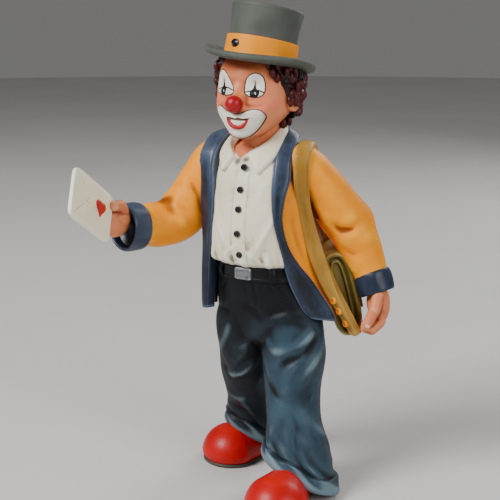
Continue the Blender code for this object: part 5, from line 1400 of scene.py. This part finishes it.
def head_turned(points):
    """Points turned with the head."""
    return turned(points, HEAD_PIVOT, -HEAD_TURN)


head = solid("head", [moved(shape, head_turned)])
print("points kept in order:", len(head.vertices) == len(shape[0]))
for key, value in marks.items():
    mark(head, key, np.concatenate([value, [NOWHERE, NOWHERE]]))
piece("head", head, face_paint, 120)

# %% [markdown]
# ## Nose and ears
# The nose is a ball of its own, set on the face. An ear is a pressed ball whose outer side has a raised rim
# and a hollow.

# %% Nose and ears
nose = moved(ball((-0.6, -18.0, 160.6), (3.4, 3.4, 3.4), 70, 110), head_turned)
piece("nose", [nose], nose_paint)

EAR_DEEP, EAR_HIGH, EAR_AXES = 3.2, 4.7, ((1, 0, 0), (0, 0, 1), (0, -1, 0))
ears = []
for side in (1, -1):
    points, quads, tris = ball((0, 0, 0), (1.9, EAR_DEEP, EAR_HIGH), 90, 120, EAR_AXES)
    points = points * (1, EAR_DEEP / EAR_HIGH, EAR_HIGH / EAR_DEEP)
    u, w = (points[:, 1] - 0.3) / EAR_DEEP, (points[:, 2] + 0.3) / EAR_HIGH
    far = np.hypot(u, w)
    outer = soft_step(points[:, 0] * side, -0.2, 0.8)
    rim = 0.55 * np.exp(-((far - 0.82) / 0.13) ** 2) - 1.5 * np.exp(-(far / 0.5) ** 2)
    inner_rim = 0.4 * np.exp(-((np.hypot(u + 0.1, w + 0.1) - 0.52) / 0.09) ** 2) * (w > -0.2)
    points[:, 0] += side * outer * (rim + inner_rim)
    points = turned(points, (0, 0, 0), side * -14) + np.array([-1.0 + side * 16.6, -0.8, 162.0])
    ears.append((head_turned(points), quads, tris))
piece("ears", ears, skin_paint, 40)

# %% [markdown]
# ## Hair
# Dark curls round the back and sides, from under the hat down to the collar. A lumpy skin gives the mass. On
# it lie a few hundred locks, each a tapered round strand bent to the letter C, placed by a seeded random
# generator so that every run gives the same hair.

# %% Mass of the hair
def hair_reach(a, z):
    """How far the hair stands off the head: a step at the hair line, and lumps from two crossed cosines."""
    side = np.abs((a + math.pi) % (2 * math.pi) - math.pi)
    line = np.radians(np.interp(z, (146.0, 155.0, 160.0, 166.0, 176.0), (128.0, 112.0, 84.0, 66.0, 46.0)))
    hold = np.clip((side - line) / 0.2, 0, 1)
    lump = 0.75 * np.cos(9 * a + 0.9 * z) * np.cos(0.95 * z + 2.2 * np.sin(3 * a))
    low = np.interp(z, (146.5, 153.0, 160.0, 180.0, 183.5), (0.2, 0.7, 1.0, 1.0, 0.2))
    return (-1.6 + hold * (3.4 + lump)) * low, side - line


rings, a, z = head_rings(150, 320, -0.3)
reach = hair_reach(a, z)[0]
middle = rings.mean(axis=1, keepdims=True)
HEAD_RADIUS = 15.0
hair_shapes = [closed(middle + (rings - middle) * (1 + reach / HEAD_RADIUS)[..., None])]
print("hair mass of", len(hair_shapes[0][0]), "points")

# %% [markdown]
# Each lock starts at a random spot behind the hair line and bends round in the plane of the scalp, while it
# arches off the head and tapers at both ends. All locks are worked out at once as one array, a strand a row.
# At the end whatever would stick through the hat is pressed down to just under its brim.

# %% Locks of the hair
seeded = np.random.default_rng(11)
count = 560
lock_a, lock_z = seeded.uniform(0, 2 * math.pi, count), seeded.uniform(148.5, 180.0, count)
keep = hair_reach(lock_a, lock_z)[1] > 0.1
keep &= lock_z > 151.0 + 3.5 * (1 + np.cos(lock_a))
lock_a, lock_z = lock_a[keep], lock_z[keep]
count = len(lock_a)
table = smooth(HEAD, 300)
cx, front, back, half = (np.interp(lock_z, table[:, 0], table[:, k]) for k in (1, 2, 3, 4))
stand = hair_reach(lock_a, lock_z)[0] - 0.5
spot = np.stack([cx + (half + stand) * np.sin(lock_a),
                 (front + back) / 2 - ((back - front) / 2 + stand) * np.cos(lock_a), lock_z], axis=-1)
out = unit(np.stack([np.sin(lock_a) / half, -np.cos(lock_a) / ((back - front) / 2), 0 * lock_a], axis=-1))
round_way = unit(np.cross((0, 0, 1), out))
up = np.cross(out, round_way)
wide = seeded.uniform(1.9, 3.6, count)[:, None]
t = np.linspace(0, 1, 16)[None, :]
bow = math.pi * (seeded.uniform(-1, 1, count) > 0)[:, None] + seeded.normal(0, 0.55, count)[:, None]
sweep = bow + (t - 0.5) * seeded.uniform(1.3, 2.6, count)[:, None] * (-1) ** (np.arange(count) % 2)[:, None]
radius = wide * (1 - 0.3 * t)
line = (spot[:, None] + round_way[:, None] * (np.cos(sweep) * radius)[..., None]
        + up[:, None] * (np.sin(sweep) * radius * 1.25)[..., None]
        + out[:, None] * (0.15 + 0.75 * np.sin(math.pi * t) + 0 * sweep)[..., None])
along = unit(np.gradient(line, axis=1))
across = unit(np.cross(along, out[:, None]))
rise = np.cross(across, along)
thick = seeded.uniform(0.95, 1.5, count)[:, None] * np.sin(math.pi * (0.05 + 0.9 * t)) ** 0.8
b = turns(10)[None, None, :, None]
strand = np.abs(np.cos(2.5 * b)) ** 1.5 * 0.22 + 0.84
ring = across[:, :, None] * np.cos(b) + rise[:, :, None] * np.sin(b)
locks = line[:, :, None] + ring * strand * thick[..., None, None]
hair_shapes += [closed(lock) for lock in locks]
HAT_FOOT, LEAN_BACK, LEAN_LEFT = (-1.0, 0.2, 176.3), 11.0, 5.2


def under_brim(points):
    """Points turned with the head, and none higher than the tipped plane of the brim."""
    points = head_turned(points)
    plane = (HAT_FOOT[2] - 0.6 - (points[:, 1] - HAT_FOOT[1]) * math.tan(math.radians(LEAN_BACK))
             - (points[:, 0] - HAT_FOOT[0]) * math.tan(math.radians(LEAN_LEFT)))
    return np.column_stack([points[:, :2], np.minimum(points[:, 2], plane)])


piece("hair", [moved(shape, under_brim) for shape in hair_shapes], hair_paint, 8)

# %% [markdown]
# ## The top hat
# Brim, crown and band are profiles carried round one axis. The brim's curl adds a height that goes with the
# square of the sine, so its two sides rise and its front and back dip. The whole hat is tipped back.

# %% Hat
CURL, CURL_LEFT_LESS = 3.6, 1.5
HAT_WIDE, HAT_DEEP = 0.985, 1.015


def hat_leaned(points):
    """Points of the upright hat set on the head and tipped with it."""
    return leaned(points + np.array(HAT_FOOT), HAT_FOOT, LEAN_BACK, LEAN_LEFT)


def hat_part(profile, rows, around, dent=0.0):
    """Profile rows (radius, height, curl) carried round as radius * sine and cosine, a little deeper than
    wide, with low dents as a sum of sines in angle and height."""
    r, h, curl = smooth(profile, rows).T[:, :, None]
    a = turns(around)[None, :]
    r = r + dent * (np.sin(3 * a + 0.3 * h) + 0.6 * np.sin(5 * a - 0.5 * h + 1.0)) * np.clip(r / 12, 0, 1)
    lift = curl * (np.sin(a) ** 2 - 0.35) - CURL_LEFT_LESS * curl / CURL * np.clip(np.sin(a), 0, 1) ** 2
    rings = np.stack([r * np.sin(a) * HAT_WIDE, -r * np.cos(a) * HAT_DEEP, h + lift + 0 * a], axis=-1)
    return moved(closed(rings), hat_leaned)


brim = hat_part([
    (6.0, -1.6, 0.1), (12.4, -1.6, 0.3), (16.4, -1.6, 1.4), (20.4, -1.3, CURL * 0.8), (22.3, -0.6, CURL),
    (22.8, 0.5, CURL), (22.3, 1.5, CURL), (21.3, 1.7, CURL), (20.2, 1.2, CURL * 0.8), (16.6, 0.6, 1.4),
    (13.2, 0.6, 0.3)], 150, 300)
CROWN = [(13.4, -1.2), (13.9, 0.6), (13.7, 7), (13.8, 12), (14.4, 18.6), (14.6, 20), (14.4, 20.8),
         (13.9, 21.15), (13.2, 21.2), (12, 21), (8, 20.85), (1, 20.85)]
crown = hat_part([(*row, 0.0) for row in CROWN], 170, 280, 0.05)
piece("hat", [brim, crown], hat_paint, 60)

BAND = [(13.4, 0.15), (14.5, 0.25), (14.95, 0.45), (14.85, 1.4), (14.7, 4.2), (14.6, 7.2), (14.55, 8.1),
        (14.3, 8.32), (13.2, 8.34)]
band = hat_part([(*row, 0.0) for row in BAND], 110, 300)
piece("hat_band", [band], band_paint, 40)

# %% [markdown]
# The band of the real hat carries a printed sign, which is left off. A small plain stud sits in its place.

# %% Stud on the band
STUD = smooth([(0.06, -0.6), (1.5, -0.6), (1.62, -0.1), (1.58, 0.3), (1.35, 0.48), (1.15, 0.42), (1.0, 0.28),
               (0.7, 0.42), (0.3, 0.5), (0.05, 0.52)], 40)
BAND_RADIUS, STUD_HEIGHT, STUD_STRETCH = 14.75, 4.6, (1.25, 1.0, 1.0)
a = math.radians(-16)
stud_axis = np.array([math.sin(a), -math.cos(a), 0.0])
stud_place = (BAND_RADIUS * HAT_WIDE * math.sin(a), -BAND_RADIUS * HAT_DEEP * math.cos(a), STUD_HEIGHT)
stud = moved(lathe(STUD, (0, 0, 0), stud_axis, 56),
             lambda points: hat_leaned(points * STUD_STRETCH + stud_place))
piece("band_stud", [stud], button_paint)

# %% [markdown]
# ## Shoes
# Big round clown shoes: in plan an egg with a wide toe and a narrow heel, drawn in toward the top like half
# a ball. The soles are thin flat plates with a narrow welt, and they carry the whole figure.

# %% Shoes and soles
TOE_RADIUS, HEEL_RADIUS, SHOE_LENGTH, SHOE_HEIGHT, SOLE_THICK = 13.5, 8.2, 38.0, 15.6, 1.6


def shoe(toe, heading, levels, around, flat=None):
    """Rings of the egg at shares of the height, its radii times (1 - level^2.4)^0.5 and tucked under. Flat
    gives the heights themselves."""
    a = turns(around)[None, :]
    level = np.array(levels, float)[:, None]
    draw = (1 - level**2.4) ** 0.5 * (1.0 - 0.14 * (1 - np.minimum(level / 0.28, 1.0)) ** 2)
    toe_r, heel_r = TOE_RADIUS * draw, HEEL_RADIUS * draw
    front = np.cos(a) > 0
    blend_in = 1 - np.abs(np.cos(a)) ** 0.8
    radius = np.where(front, toe_r, heel_r + (toe_r - heel_r) * blend_in)
    back = SHOE_LENGTH - TOE_RADIUS - HEEL_RADIUS + heel_r
    y = np.where(front, -toe_r * np.cos(a), -back * np.cos(a))
    z = SOLE_THICK / 2 + level * (SHOE_HEIGHT - SOLE_THICK / 2) if flat is None else flat[:, None]
    rings = np.stack([radius * np.sin(a), y, z + 0 * radius], axis=-1)
    return turned(rings.reshape(-1, 3), (0, 0, 0), -heading).reshape(rings.shape) + np.array([*toe, 0.0])


SHOES = (((-18.9, 7.4), 27), ((24.3, -29.8), -5))
levels = np.linspace(0, 0.9925, 90)
uppers = [closed(shoe(toe, heading, levels, 220)) for toe, heading in SHOES]
piece("shoes", uppers, shoe_paint, 60)
soles = []
for toe, heading in SHOES:
    flat = np.array([0.0, 0.12, 0.3, 1.25, 1.5, 1.6])
    rings = shoe(toe, heading, [0.12] * 6, 220, flat)
    middle = rings.mean(axis=1, keepdims=True)
    inset = np.array([0.5, 0.25, 0.1, 0.1, 0.25, 0.6])[:, None, None]
    soles.append(closed(middle + (rings - middle) * (1 - inset / 14)))
piece("soles", soles, sole_paint)
